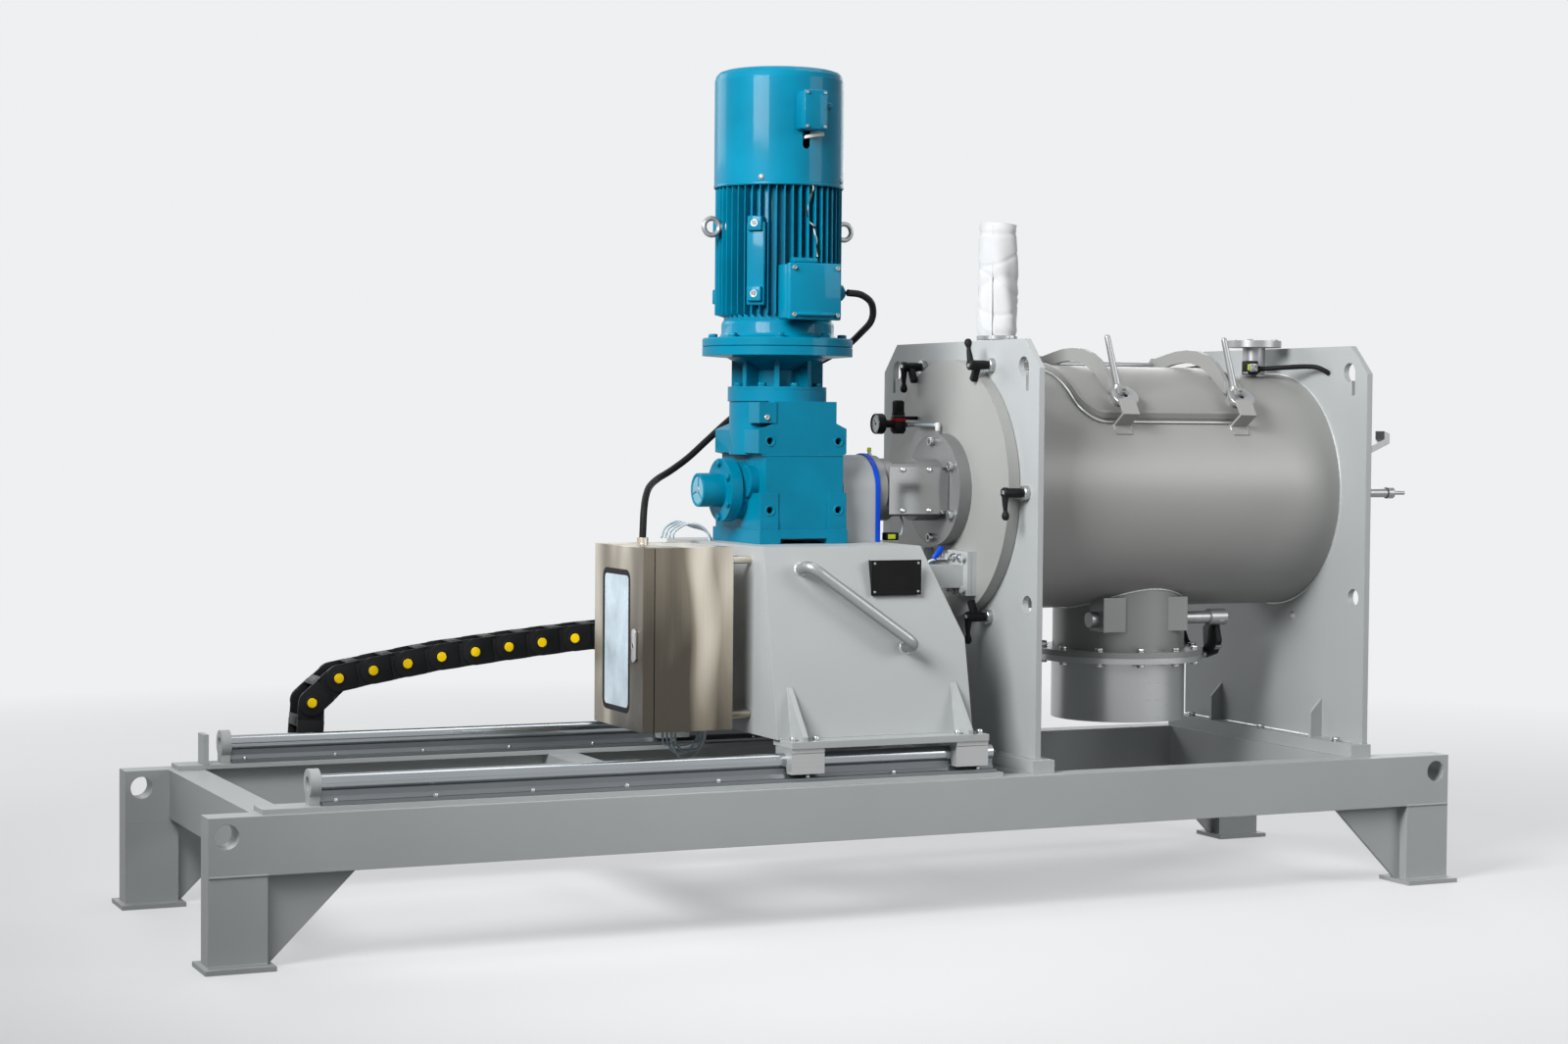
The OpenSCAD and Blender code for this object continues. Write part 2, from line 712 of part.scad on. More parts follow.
module outlet_pipe() color(bright) difference() {
  union() {
    translate([outlet_x, 0, outlet_z]) cylinder(h = outlet_split_z - outlet_z, r = neck_r + 2);
    translate([outlet_x, 0, outlet_split_z - outlet_flange_t])
      cylinder(h = outlet_flange_t, r = outlet_flange_r);
  }
  translate([outlet_x, 0, outlet_z - cut]) cylinder(h = 200, r = bore_r + 2);
}

// Flap, its shaft and the outside crank with a drop handle
module discharge_flap() color(bright) {
  shaft_end = block_x[1] + block_len[1] + 130;
  translate([0, -flap_y, flap_z]) {
    rod_x(block_x[0] - 20, shaft_end - 10, flap_shaft_r);
    rod_x(block_x[0] - 20, block_x[0] - rest_gap, 19);
    rod_x(shaft_end - 46, shaft_end, 20);
    for (x = [outlet_x - 76, outlet_x + 56]) translate([x, 0, 0]) cube([20, 60, flap_up + flap_t / 2]);
  }
  translate([outlet_x, 0, flap_z + flap_up]) linear_extrude(flap_t) flap_outline(0);
  extrude_x(shaft_end - 24, shaft_end - 10) translate([-flap_y, flap_z]) difference() {
    polygon([[-19, 6], [19, 6], [58, -30], [52, -76], [10, -86], [-8, -74], [12, -58], [32, -52],
      [34, -34], [12, -14], [-19, -10]]);
    translate([30, -66]) circle(r = 6);
  }
}

module door_seal() color(black_part) difference() {
  translate([0, 0, axis_z]) rod_x(plate_x - seal_t, plate_x, door_r - 2);
  translate([0, 0, axis_z]) rod_x(plate_x - seal_t - cut, plate_x + cut, mouth_r + 3);
}

// Probe and clamp bracket behind the right end plate
module tail_probe() color(bright) {
  face = right_x + plate_t;
  translate([0, -250, 943]) {
    rod_x(face, face + 10, 26);
    rod_x(face + 10, face + 150, 11);
    rod_x(face + 150, face + 168, 14);
    rod_x(face + 168, face + 204, 5);
  }
  extrude_y(-312, -276) polygon([[face, 1090], [face, 1022], [face + 12, 1022], [face + 112, 1066],
    [face + 112, 1090], [face + 96, 1096], [face + 96, 1076], [face + 12, 1040], [face + 12, 1090]]);
}

// Carriage: a hollow welded box with leaning sides on two base bars
module box_section(inset) {
  ty = box_top_y - inset;
  fy = box_foot_y - inset;
  polygon([[-fy, box_z0 - (inset > 0 ? cut : 1)], [fy, box_z0 - (inset > 0 ? cut : 1)],
    [ty, box_top - inset], [-ty, box_top - inset]]);
}

module box_side(inset) {
  polygon([[box_x0 + inset, box_z0 - cut], [box_x1 - inset, box_z0 - cut], [box_x1 - inset, box_slope_z],
    [box_top_x1 - inset, box_top + cut], [box_x0 + inset, box_top + cut]]);
}

module carriage_rib(x) {
  extrude_x(x, x + 12) polygon([[-box_foot_y, box_z0], [-rail_y - base_bar_w / 2 + 6, box_z0],
    [-rail_y - base_bar_w / 2 + 6, box_z0 + 10], [-box_foot_y + 22, box_z0 + 112]]);
}

// Angle that the chain's last link stands on
module chain_bracket() {
  x0 = upper_end[0] - 12;
  z = upper_end[1] - link_h / 2 - 9.5;
  difference() {
    translate([x0, box_top_y, z]) cube([box_x0 + 70 - x0, chain_y + chain_w - box_top_y, 8]);
    extrude_x(box_x0 + box_wall / 2, box_x1) box_section(box_wall / 2);
  }
}

module carriage_body() color(grey_paint) {
  difference() {
    intersection() {
      extrude_x(box_x0, box_x1) box_section(0);
      extrude_y(-box_foot_y - cut, box_foot_y + cut) box_side(0);
    }
    intersection() {
      extrude_x(box_x0, box_x1) box_section(box_wall);
      extrude_y(-box_foot_y - cut, box_foot_y + cut) box_side(box_wall);
    }
  }
  both_sides() {
    translate([block_x0, -base_bar_y - base_bar_w / 2, block_top])
      cube([block_x1 + block_l - block_x0, base_bar_w, base_bar_t]);
    for (x = [-213, 196]) carriage_rib(x);
  }
  chain_bracket();
}

// Open linear bearing blocks that run on the shafts
module bearing_blocks() color(bright) both_sides() for (x = [block_x0, block_x1]) difference() {
  extrude_x(x, x + block_l) translate([-rail_y, shaft_z]) difference() {
    union() {
      translate([-block_w / 2, -26]) square([block_w, 45]);
      translate([-block_w / 2, 20]) square([block_w, 10 - rest_gap]);
      translate([-block_w / 2 + 4, 18]) square([block_w - 8, 3]);
    }
    translate([-12, -27]) square([24, 20]);
    polygon([[-12, -10], [-19, -27], [19, -27], [12, -10]]);
  }
  translate([0, -rail_y, shaft_z]) rod_x(x - cut, x + block_l + cut, shaft_r + run_gap);
}

module carriage_bolts() color(bright) {
  both_sides() for (x = [block_x0, block_x1], dx = [14, block_l - 14])
    translate([x + dx, -rail_y - 33, box_z0]) hex_head(13, 6);
  for (a = [0:60:300]) translate([flange_x0, 0, axis_z]) rotate([a + 30, 0, 0])
    translate([0, 0, bearing_flange_r - 19]) rotate([0, -90, 0]) cylinder(h = 13, r = 9);
}

// Bent pull handle that stands off the leaning front side
lean = (box_foot_y - box_top_y) / (box_top - box_z0);
function side_at(z) = -box_top_y - (box_top - z) * lean;
handle_r = 13;
handle_off = 50;
handle_top = [-160, 778];
handle_low = [86, 600];

module pull_handle() color(bright) {
  up = [0, -handle_off, handle_off * lean];
  a = [handle_top[0], side_at(handle_top[1]) - 1, handle_top[1]];
  b = [handle_low[0], side_at(handle_low[1]) - 1, handle_low[1]];
  run = unit(b - a);
  swept_tube([a, a + 0.55 * up, a + 0.86 * up + 8 * run, a + up + 28 * run,
    b + up - 28 * run, b + 0.86 * up - 8 * run, b + 0.55 * up, b], handle_r, 16);
}

// Blank plate on a folded holder
module nameplate() color(black_part) {
  y1 = side_at(790) - 2;
  extrude_y(y1 - 22, y1 - 19) translate([70, 757]) square([125, 79], center = true);
  extrude_x(11, 14) polygon([[y1 - 19.5, 718], [side_at(718), 718],
    [side_at(796), 796], [y1 - 19.5, 796]]);
}

// Gearbox: stepped cast housing, foot, side flange with nose, and a top ring
module gearbox() color(blue_paint) difference() {
  union() {
    extrude_y(-gear_y, gear_y) polygon([[gear_x0 + 18, gear_foot_z + 20], [gear_x0 + 18, gear_split],
      [gear_x0, gear_split + 4], [gear_x0, gear_top - 66], [gear_x0 + 38, gear_top - 50],
      [gear_x0 + 38, gear_top], [gear_x1 - 26, gear_top], [gear_x1 - 26, gear_top - 50],
      [gear_x1, gear_top - 62], [gear_x1, gear_split + 4], [gear_x1 - 8, gear_split],
      [gear_x1 - 8, gear_foot_z + 20]]);
    for (x = [gear_x0 + 4, gear_x1 - 46]) translate([x, -gear_y - 3, gear_foot_z])
      cube([46, 2 * gear_y + 6, 54]);
    for (x = [gear_x0 + 4, gear_x1 - 46]) translate([x, -gear_y - 2, gear_foot_z + 54])
      cube([46, 2 * gear_y + 4, 62]);
    translate([gear_x0, -gear_y - 10, gear_foot_z]) cube([gear_x1 - gear_x0, 2 * gear_y + 20, 32]);
    translate([motor_x, 0, gear_split]) cylinder(h = gear_top - gear_split, r = adapter_r - 4);
    translate([motor_x, 0, gear_top]) cylinder(h = 27, r = adapter_r);
    translate([gear_x0, -gear_y - 2, gear_top - 50]) cube([44, 60, 47]);
    translate([0, 0, axis_z]) {
      rod_x(gear_x0 - 42, gear_x0 - 14, 73);
      rod_x(gear_x0 - 14, gear_x0 + 20, 66);
      rod_x(gear_x0 - 96, gear_x0 - 42, 39);
      rod_x(gear_x1 - 10, gear_x1 + 10, 60);
    }
    translate([0, -57, axis_z + 20]) rod_x(gear_x0 - 4, gear_x0 + 20, 37);
  }
  for (x = [gear_x0 + 29, gear_x1 - 20], z = [904, 1062])
    translate([x, 0, z]) rod_y(-gear_y - 5, -gear_y + 24, 8);
  translate([gear_x0 + 52, -gear_y - 12, gear_foot_z - cut])
    cube([gear_x1 - gear_x0 - 104, 2 * gear_y + 24, 12 + cut]);
  translate([0, 0, axis_z]) rod_x(rotor_x0 - rest_gap, gear_x1 + 12, rotor_r + run_gap);
}

// Motor adapter: open cast lantern between gearbox ring and motor flange
module motor_adapter() color(blue_paint) translate([motor_x, 0, 0]) {
  rotate_extrude() polygon([[40, gear_top + 27], [adapter_r, gear_top + 27], [adapter_r, gear_top + 34],
    [66, gear_top + 36], [66, gear_top + 72], [118, motor_z - 24], [motor_flange_r, motor_z - 20],
    [motor_flange_r, motor_z], [40, motor_z]]);
  for (a = [20:45:335]) rotate([0, 0, a]) translate([60, -6, gear_top + 30])
    cube([46, 12, motor_z - gear_top - 44]);
}

// Motor: flange, neck and finned body
module motor_body() color(blue_paint) translate([motor_x, 0, 0]) {
  translate([0, 0, motor_z]) cylinder(h = 21, r = motor_flange_r);
  translate([0, 0, motor_z + 4]) cylinder(h = fins_z0 - motor_z, r = 131);
  translate([0, 0, fins_z0 - 4]) cylinder(h = cowl_z - fins_z0 + 24, r = 126);
  translate([0, 0, cowl_z + 10]) cylinder(h = fan_z - cowl_z - 2, r = fan_shaft_r);
  for (k = [0:fins_n - 1]) rotate([0, 0, 360 * (k + 0.5) / fins_n])
    translate([122, -1.6, fins_z0]) cube([fins_r - 122, 3.2, cowl_z - fins_z0 + 12]);
  for (a = [225, 135]) rotate([0, 0, a]) {
    translate([120, -22, fins_z0 + 30]) cube([29, 44, 190]);
    for (z = [fins_z0 + 40, fins_z0 + 200]) translate([130, -16, z]) cube([28, 32, 32]);
  }
  for (a = [0:45:315]) rotate([0, 0, a + 22.5]) translate([motor_flange_r - 25, 0, motor_z + 21])
    hex_head(20, 10);
  for (s = [-1, 1]) translate([s * (fins_r + 22), 0, cowl_z - 92]) rotate([90, 0, 0]) {
    rotate_extrude() translate([19, 0]) circle(r = 6, $fn = 20);
    translate([-s * 22, 0, 0]) rotate([0, 90, 0]) translate([0, 0, s > 0 ? -10 : -6]) cylinder(h = 16, r = 11);
  }
}

// Fan cowl: thin drum with a domed, slotted top and a cable slot
module motor_cowl() color(blue_paint) translate([motor_x, 0, 0]) difference() {
  rotate_extrude($fn = 72) polygon([[cowl_r - 2, cowl_z], [cowl_r, cowl_z], [cowl_r, cowl_top - 26],
    [cowl_r - 3, cowl_top - 15], [cowl_r - 10, cowl_top - 7], [cowl_r - 22, cowl_top - 3], [0, cowl_top],
    [0, cowl_top - 2], [cowl_r - 23, cowl_top - 5], [cowl_r - 12, cowl_top - 9],
    [cowl_r - 5, cowl_top - 17], [cowl_r - 2, cowl_top - 27]]);
  for (r = [40:14:110]) difference() {
    translate([0, 0, cowl_top - 20]) cylinder(h = 30, r = r + 7);
    translate([0, 0, cowl_top - 30]) cylinder(h = 50, r = r);
    for (a = [0:45:135]) rotate([0, 0, a]) translate([-130, -5, cowl_top - 30]) cube([260, 10, 50]);
  }
  translate([0, 0, cowl_top - 160]) rotate([90, 0, 0]) linear_extrude(cowl_r + 10) {
    square([18, 44], center = true);
    for (z = [-22, 22]) translate([0, z]) circle(r = 9);
  }
}

// Terminal boxes of the motor and of its fan
module terminal_boxes() color(blue_paint) {
  difference() {
    translate([motor_x - tbox_x / 2, -205, tbox_z[0]]) cube([tbox_x, 100, tbox_z[1] - tbox_z[0]]);
    translate([motor_x, 0, tbox_z[0] - 20]) cylinder(h = 200, r = fins_r + rest_gap);
  }
  translate([motor_x, -190, (tbox_z[0] + tbox_z[1]) / 2]) rod_x(tbox_x / 2, tbox_x / 2 + 22, 22);
  difference() {
    translate([motor_x - 29, -200, cowl_top - 152]) cube([58, 58, 90]);
    translate([motor_x, 0, cowl_top - 218]) cylinder(h = 220, r = cowl_r + rest_gap);
  }
  translate([motor_x, -176, cowl_top - 96]) rod_x(29, 52, 12);
}

// Arched guard over the coupling
module coupling_guard() color(grey_paint) difference() {
  extrude_x(gear_x1 + 14, housing_x0) {
    translate([0, axis_z]) circle(r = 82);
    translate([-82, box_top]) square([164, axis_z - box_top]);
  }
  extrude_x(gear_x1 + 10, housing_x0 + cut) {
    translate([0, axis_z]) circle(r = 79);
    translate([-79, box_top - cut]) square([158, axis_z - box_top + cut]);
  }
}

// Bearing housing on the door, an open cage between two rings
module bearing_housing() color(steel) difference() {
  translate([0, 0, axis_z]) {
    rod_x(housing_x0 + 1, housing_x0 + 22, 81);
    rod_x(housing_x0 + 22, flange_x0, bearing_r);
    rod_x(flange_x0, door_x0, bearing_flange_r);
  }
  translate([0, 0, axis_z]) rod_x(housing_x0, door_x0 + cut, rotor_r + run_gap);
  translate([housing_x0 + 52, -40, axis_z - 100]) cube([70, 80, 200]);
}

// Flat guards over the cage's windows, held by acorn nuts
module guard_plates() color(bright) both_sides() {
  translate([housing_x0 + 24, -bearing_r - 8, axis_z - 56]) cube([flange_x0 - housing_x0 - 26, 3, 110]);
  for (x = [housing_x0 + 60, housing_x0 + 130], z = [axis_z - 48, axis_z + 48])
    difference() {
      translate([x, 0, z]) {
        rod_y(-bearing_r - 14, -bearing_r - 8, 6);
        rod_y(-bearing_r - 6, -48, 5);
      }
      translate([0, 0, axis_z]) rod_x(housing_x0, flange_x0, bearing_r);
    }
}

module end_door() color(steel) difference() {
  translate([0, 0, axis_z]) rod_x(door_x0, door_x1, door_r);
  translate([0, 0, axis_z]) rod_x(door_x0 - cut, door_x1 + cut, rotor_r + run_gap);
}

// Arms that tie the door to the carriage's sloping end
module door_arms() color(grey_paint) both_sides() {
  difference() {
    translate([150, -140, 720]) cube([door_x0 - 24 - 150, 60, 53]);
    extrude_y(-160, 0) box_side(0);
  }
  for (x = [door_x0 - 24, door_x0 - 12 + rest_gap]) translate([x, -160, 702]) cube([12 - rest_gap, 100, 104]);
  for (z = [716, 790], y = [-148, -72]) translate([0, y, z]) rod_x(door_x0 - 34, door_x0 - 24, 8);
}

// Air regulator with its gauge, on a bracket from the door
reg_x = 306;
reg_y = 150;
reg_z = 1102;
module air_regulator() color(black_part) {
  translate([reg_x, reg_y, reg_z - 22]) cylinder(h = 44, r = 19);
  translate([0, reg_y, reg_z + 2]) {
    rod_x(reg_x - 46, reg_x - 10, 10);
    rod_x(reg_x - 64, reg_x - 42, 25);
  }
  translate([reg_x + 10, reg_y - 6, reg_z + 12]) cube([door_x0 - reg_x - 10 - rest_gap, 12, 9]);
  translate([0, reg_y - 14, reg_z]) rod_x(reg_x, reg_x + 42, 5);
  translate([reg_x + 37, 0, reg_z]) rod_y(14, reg_y - 14, 4);
  translate([reg_x + 37, 14, reg_z - 14]) cylinder(h = 20, r = 6);
}

module regulator_knob() color(black_part) translate([reg_x, reg_y, reg_z + 22 + rest_gap]) {
  cylinder(h = 8, r = 16);
  translate([0, 0, 8]) cylinder(h = 30, r = 12);
  for (a = [0:30:330]) rotate([0, 0, a]) translate([11, -1.5, 12]) cube([2.5, 3, 26]);
}

// Enclosure: folded box, open to the left, on four standoffs
hinge_at = [-494, enclosure_back_y + 6];
hinge_pin_r = 3;
hinge_rows = [enclosure_z + 60, enclosure_z + enclosure_h - 110];
module hinge_knuckle(z, h) translate([hinge_at[0], hinge_at[1], z]) cylinder(h = h, r = 6);

module enclosure_box() color("#a89f90") {
  difference() {
    translate([box_face_x, enclosure_y, enclosure_z])
      cube([enclosure_x1 - box_face_x, enclosure_w, enclosure_h]);
    translate([box_face_x - cut, enclosure_y + sheet_t, enclosure_z + sheet_t])
      cube([enclosure_x1 - box_face_x - sheet_t + cut, enclosure_w - 2 * sheet_t, enclosure_h - 2 * sheet_t]);
  }
  for (y = [enclosure_y + 40, enclosure_back_y - 40], z = [enclosure_z + 30, enclosure_z + enclosure_h - 30])
    translate([0, y, z]) rod_x(enclosure_x1, box_x0, 9);
  translate([box_face_x + 60, enclosure_back_y - 70, enclosure_z + enclosure_h]) cylinder(h = 14, r = 13);
  for (z = hinge_rows) {
    hinge_knuckle(z, 20);
    translate([hinge_at[0], hinge_at[1], z]) cylinder(h = 50, r = hinge_pin_r);
    translate([hinge_at[0], enclosure_back_y, z]) cube([26, 3, 20]);
  }
}

// Door pan with a framed window
win_y = [-175, -5];
win_z = [455, 775];
module enclosure_door() color("#a89f90") difference() {
  union() {
    translate([enclosure_x, enclosure_y, enclosure_z]) cube([pan_d, enclosure_w, enclosure_h]);
    for (z = hinge_rows) {
      hinge_knuckle(z + 20 + rest_gap, 29);
      translate([hinge_at[0] - 22, enclosure_back_y - 1, z + 20 + rest_gap]) cube([20, 4, 29]);
    }
  }
  translate([enclosure_x + sheet_t, enclosure_y + sheet_t, enclosure_z + sheet_t])
    cube([pan_d, enclosure_w - 2 * sheet_t, enclosure_h - 2 * sheet_t]);
  extrude_x(enclosure_x - cut, enclosure_x + 1)
    translate([(win_y[0] + win_y[1]) / 2, (win_z[0] + win_z[1]) / 2])
      round_rect(win_y[1] - win_y[0], win_z[1] - win_z[0], 24);
  translate([0, -206, 610]) rod_x(enclosure_x - cut, enclosure_x + sheet_t + cut, 8 + run_gap);
  for (z = hinge_rows) translate([hinge_at[0], hinge_at[1], z + 10]) cylinder(h = 50, r = hinge_pin_r + run_gap);
}

// Oval latch, turned with a key
module enclosure_latch() color(bright) {
  translate([0, -206, 610]) rod_x(enclosure_x - 3, enclosure_x + 14, 8);
  extrude_x(enclosure_x - 7, enclosure_x - rest_gap) translate([-206, 610]) {
    square([20, 54], center = true);
    for (z = [-27, 27]) translate([0, z]) circle(r = 10);
  }
}

// Power cable: out of the enclosure, behind the gearbox and up to the motor's terminal box
power_route = [[-433, -26, 841], [-432, -26, 868], [-428, -20, 900], [-414, 4, 932], [-390, 40, 955],
  [-352, 84, 972], [-306, 118, 990], [-252, 142, 1020], [-196, 158, 1062], [-136, 166, 1110],
  [-70, 168, 1160], [-4, 160, 1206], [50, 134, 1236], [90, 94, 1262], [116, 44, 1290],
  [124, -10, 1318], [118, -70, 1340], [100, -120, 1362], [74, -158, 1384], [36, -184, 1398], [0, -190, 1401]];
module power_cable() color(black_part) swept_tube(power_route, 8);

// Energy chain: each link has an outer and an inner half, so that it laps the next one
module link_plate() {
  extrude_y(-link_plate_t, 0) {
    circle(r = link_h / 2);
    translate([0, -link_h / 2]) square([link_pitch * 0.5, link_h]);
  }
  extrude_y(0.2, link_plate_t) {
    translate([link_pitch, 0]) circle(r = link_h / 2);
    translate([link_pitch * 0.42, -link_h / 2]) square([link_pitch * 0.58, link_h]);
  }
  translate([link_pitch * 0.42, 0, 0]) extrude_y(-1, 1)
    translate([0, -link_h / 2]) square([link_pitch * 0.08, link_h]);
}

module chain_link(pin, turn) translate([pin[0], chain_mid_y, pin[1]]) rotate([0, -turn, 0]) {
  for (m = [0, 1]) mirror([0, m, 0]) translate([0, -chain_w / 2 + link_plate_t, 0]) link_plate();
  for (z = [-link_h / 2, link_h / 2 - 5]) translate([link_pitch * 0.5 - link_crossbar / 2, -chain_w / 2 + 3, z])
    cube([link_crossbar, chain_w - 6, 5]);
}

module chain_upper() color(black_part)
  for (i = [0:len(upper_turn) - 1]) chain_link(upper_pin(i), upper_turn[i]);

module chain_bend() color(black_part)
  for (i = [0:len(bend_turn) - 1]) chain_link(bend_pin(i + 1), bend_turn[i]);

module chain_lower() color(black_part)
  for (i = [1:lower_n]) chain_link(bend_end + [i * link_pitch, 0], 180);

// Tray beside the rear beam that the lower run lies in
module chain_tray() color(grey_paint) {
  x0 = -frame_l / 2 + 84;
  x1 = bend_end[0] + (lower_n + 1) * link_pitch;
  z = lower_z - link_h / 2 - rest_gap - tray_t;
  translate([x0, side_y, z]) cube([x1 - x0, chain_y - side_y + chain_w + 8, tray_t]);
  translate([x0, side_y, z]) cube([x1 - x0, tray_t, 42]);
}

// Rotor: shaft with a coupling hub, and ploughs on radial arms
module rotor_shaft() color(bright) translate([0, 0, axis_z]) {
  rod_x(rotor_x0, rotor_x1, rotor_r);
  rod_x(gear_x1 + 26, gear_x1 + 88, 66);
}

module plough() {
  translate([-14, -7, rotor_r - 2]) cube([28, 14, plough_reach - rotor_r - 34]);
  intersection() {
    translate([-58, 0, 0]) rotate([0, 90, 0]) difference() {
      cylinder(h = 116, r = plough_reach, $fn = 96);
      translate([0, 0, -cut]) cylinder(h = 120, r = plough_reach - 58);
    }
    translate([0, 0, plough_reach - 60]) linear_extrude(70)
      polygon([[-56, 26], [0, -34], [56, 26], [42, 32], [0, -12], [-42, 32]]);
  }
}

module ploughs() color(bright) difference() {
  for (i = [0:ploughs_n - 1]) translate([plough_first + i * plough_step, 0, axis_z])
    rotate([i * 150, 0, 0]) plough();
  translate([0, 0, axis_z]) rod_x(rotor_x0, rotor_x1, rotor_r);
}

// Fan of the forced cooling, on its own small motor in the cowl
module cooling_fan() color(black_part) translate([motor_x, 0, 0]) difference() {
  union() {
    translate([0, 0, fan_z - 17]) cylinder(h = 34, r = 34);
    for (k = [0:6]) rotate([0, 0, k * 360 / 7]) translate([30, 0, fan_z]) rotate([32, 0, 0])
      translate([0, -20, -1.5]) cube([98, 40, 3]);
  }
  translate([0, 0, fan_z - 20]) cylinder(h = 32, r = fan_shaft_r + run_gap);
}

// Door clamp: threaded hub, pressing finger and crank with a drop knob
module door_clamp(i) color(black_part) {
  reach = clamp_ring_r - door_r + clamp_reach;
  translate([0, 0, axis_z]) rotate([clamp_a[i], 0, 0]) translate([0, 0, clamp_ring_r]) {
    difference() {
      union() {
        rod_x(clamp_x0 + 5, plate_x - clamp_base_t - rest_gap, clamp_hub_r);
        translate([door_x0 - 16 - rest_gap, -8, -reach]) cube([16, 16, reach]);
      }
      rod_x(clamp_x0 + 8, plate_x, clamp_stud_r + run_gap);
    }
    rotate([clamp_knob_turn[i], 0, 0]) {
      extrude_x(clamp_x0 - 6, clamp_x0 + 6) {
        circle(r = clamp_hub_r + 2);
        polygon([[-9, 0], [9, 0], [5, 42], [-5, 42]]);
      }
      translate([clamp_x0, 0, 38]) cylinder(h = 14, r1 = 4, r2 = 7.5);
      translate([clamp_x0, 0, 54]) sphere(r = 9);
    }
  }
}

module door_clamp_1() door_clamp(0);
module door_clamp_2() door_clamp(1);
module door_clamp_3() door_clamp(2);
module door_clamp_4() door_clamp(3);
module door_clamp_5() door_clamp(4);
module door_clamp_6() door_clamp(5);

side_beams();
legs();
cross_members();
rail_bars();
rail_supports();
rail_shafts();
rail_stops();
base_fasteners();
chain_tray();
left_end_plate();
right_end_plate();
plate_feet();
drum_shell();
hatch_frame();
hatch_hinge_rod();
top_nozzles();
filter_sleeve();
safety_switch();
switch_cable();
discharge_neck();
outlet_pipe();
door_seal();
tail_probe();
chain_lower();
carriage_body();
bearing_blocks();
carriage_bolts();
pull_handle();
nameplate();
gearbox();
motor_adapter();
motor_body();
motor_cowl();
terminal_boxes();
coupling_guard();
bearing_housing();
guard_plates();
end_door();
door_arms();
air_regulator();
enclosure_box();
power_cable();
chain_upper();
rotor_shaft();
ploughs();
cooling_fan();
enclosure_door();
enclosure_latch();
hatch_lid();
hatch_clamp_1();
hatch_clamp_2();
door_clamp_1();
door_clamp_2();
door_clamp_3();
door_clamp_4();
door_clamp_5();
door_clamp_6();
discharge_flap();
regulator_knob();
chain_bend();
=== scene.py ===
# %% [markdown]
# # A plough mixer on a rolling carriage
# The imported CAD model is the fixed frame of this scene: every beam, plate and casting already stands
# in its place, in metres. This script gives each of them its real finish, swaps the plainest ones for
# finer pieces made in mesh code, and sets up camera, floor and light.

# %% Load the frame
import json
from math import cos, exp, hypot, pi, radians, sin, sqrt
import bpy
import bmesh
import numpy as np
from mathutils import Matrix, Vector


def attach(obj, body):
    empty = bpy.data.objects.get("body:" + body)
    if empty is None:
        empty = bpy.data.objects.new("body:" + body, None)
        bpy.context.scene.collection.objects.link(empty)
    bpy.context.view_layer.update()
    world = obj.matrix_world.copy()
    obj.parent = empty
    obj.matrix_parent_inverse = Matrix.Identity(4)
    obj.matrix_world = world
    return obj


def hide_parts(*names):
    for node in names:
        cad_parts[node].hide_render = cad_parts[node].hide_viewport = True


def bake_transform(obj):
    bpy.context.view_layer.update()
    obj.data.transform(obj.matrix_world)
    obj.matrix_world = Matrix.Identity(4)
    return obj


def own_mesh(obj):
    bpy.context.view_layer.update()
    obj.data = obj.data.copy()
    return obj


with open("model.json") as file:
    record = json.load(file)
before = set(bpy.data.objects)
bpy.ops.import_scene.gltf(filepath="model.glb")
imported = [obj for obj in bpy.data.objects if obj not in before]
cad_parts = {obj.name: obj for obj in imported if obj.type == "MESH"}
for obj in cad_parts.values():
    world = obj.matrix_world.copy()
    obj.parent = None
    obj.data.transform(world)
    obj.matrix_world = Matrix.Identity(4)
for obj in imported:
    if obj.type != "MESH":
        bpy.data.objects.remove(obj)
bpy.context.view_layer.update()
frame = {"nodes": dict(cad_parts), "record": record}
node = frame["nodes"]

def placed(name, data):
    """A new object, put into the scene."""
    obj = bpy.data.objects.new(name, data)
    bpy.context.scene.collection.objects.link(obj)
    return obj

# %% [markdown]
# The camera stands low in front of the left end, a long lens turned a little to the right. Its place,
# lens and turn were fitted to the round and straight edges of the real machine, so the matrix is
# written from its yaw, pitch and roll.

# %% Camera
def look(*yaw_pitch_roll):
    a, p, r = (radians(v) for v in yaw_pitch_roll)
    ahead = Vector((sin(a) * cos(p), cos(a) * cos(p), -sin(p)))
    right = Vector((cos(a), -sin(a), 0))
    up = right.cross(ahead)
    across = right * cos(r) + up * sin(r)
    return Matrix((across, up * cos(r) - right * sin(r), -ahead)).transposed().to_4x4()

camera_data = bpy.data.cameras.new("camera")
camera_data.lens, camera_data.sensor_width, camera_data.clip_end = 63.885, 36, 60
camera = placed("camera", camera_data)
camera.matrix_world = Matrix.Translation((-2.7874, -5.9, 1.0961)) @ look(24.75, 1.97, 0.47)
bpy.context.scene.camera = camera
print("camera at", [round(v, 3) for v in camera.location])

# %% [markdown]
# Node trees are written as sums. `Field` wraps one socket and adds a Math node for each operator, `Nodes`
# adds nodes and links to any tree, and `Paint` is the tree of one material, so that a worn paint reads
# like the formula it is.

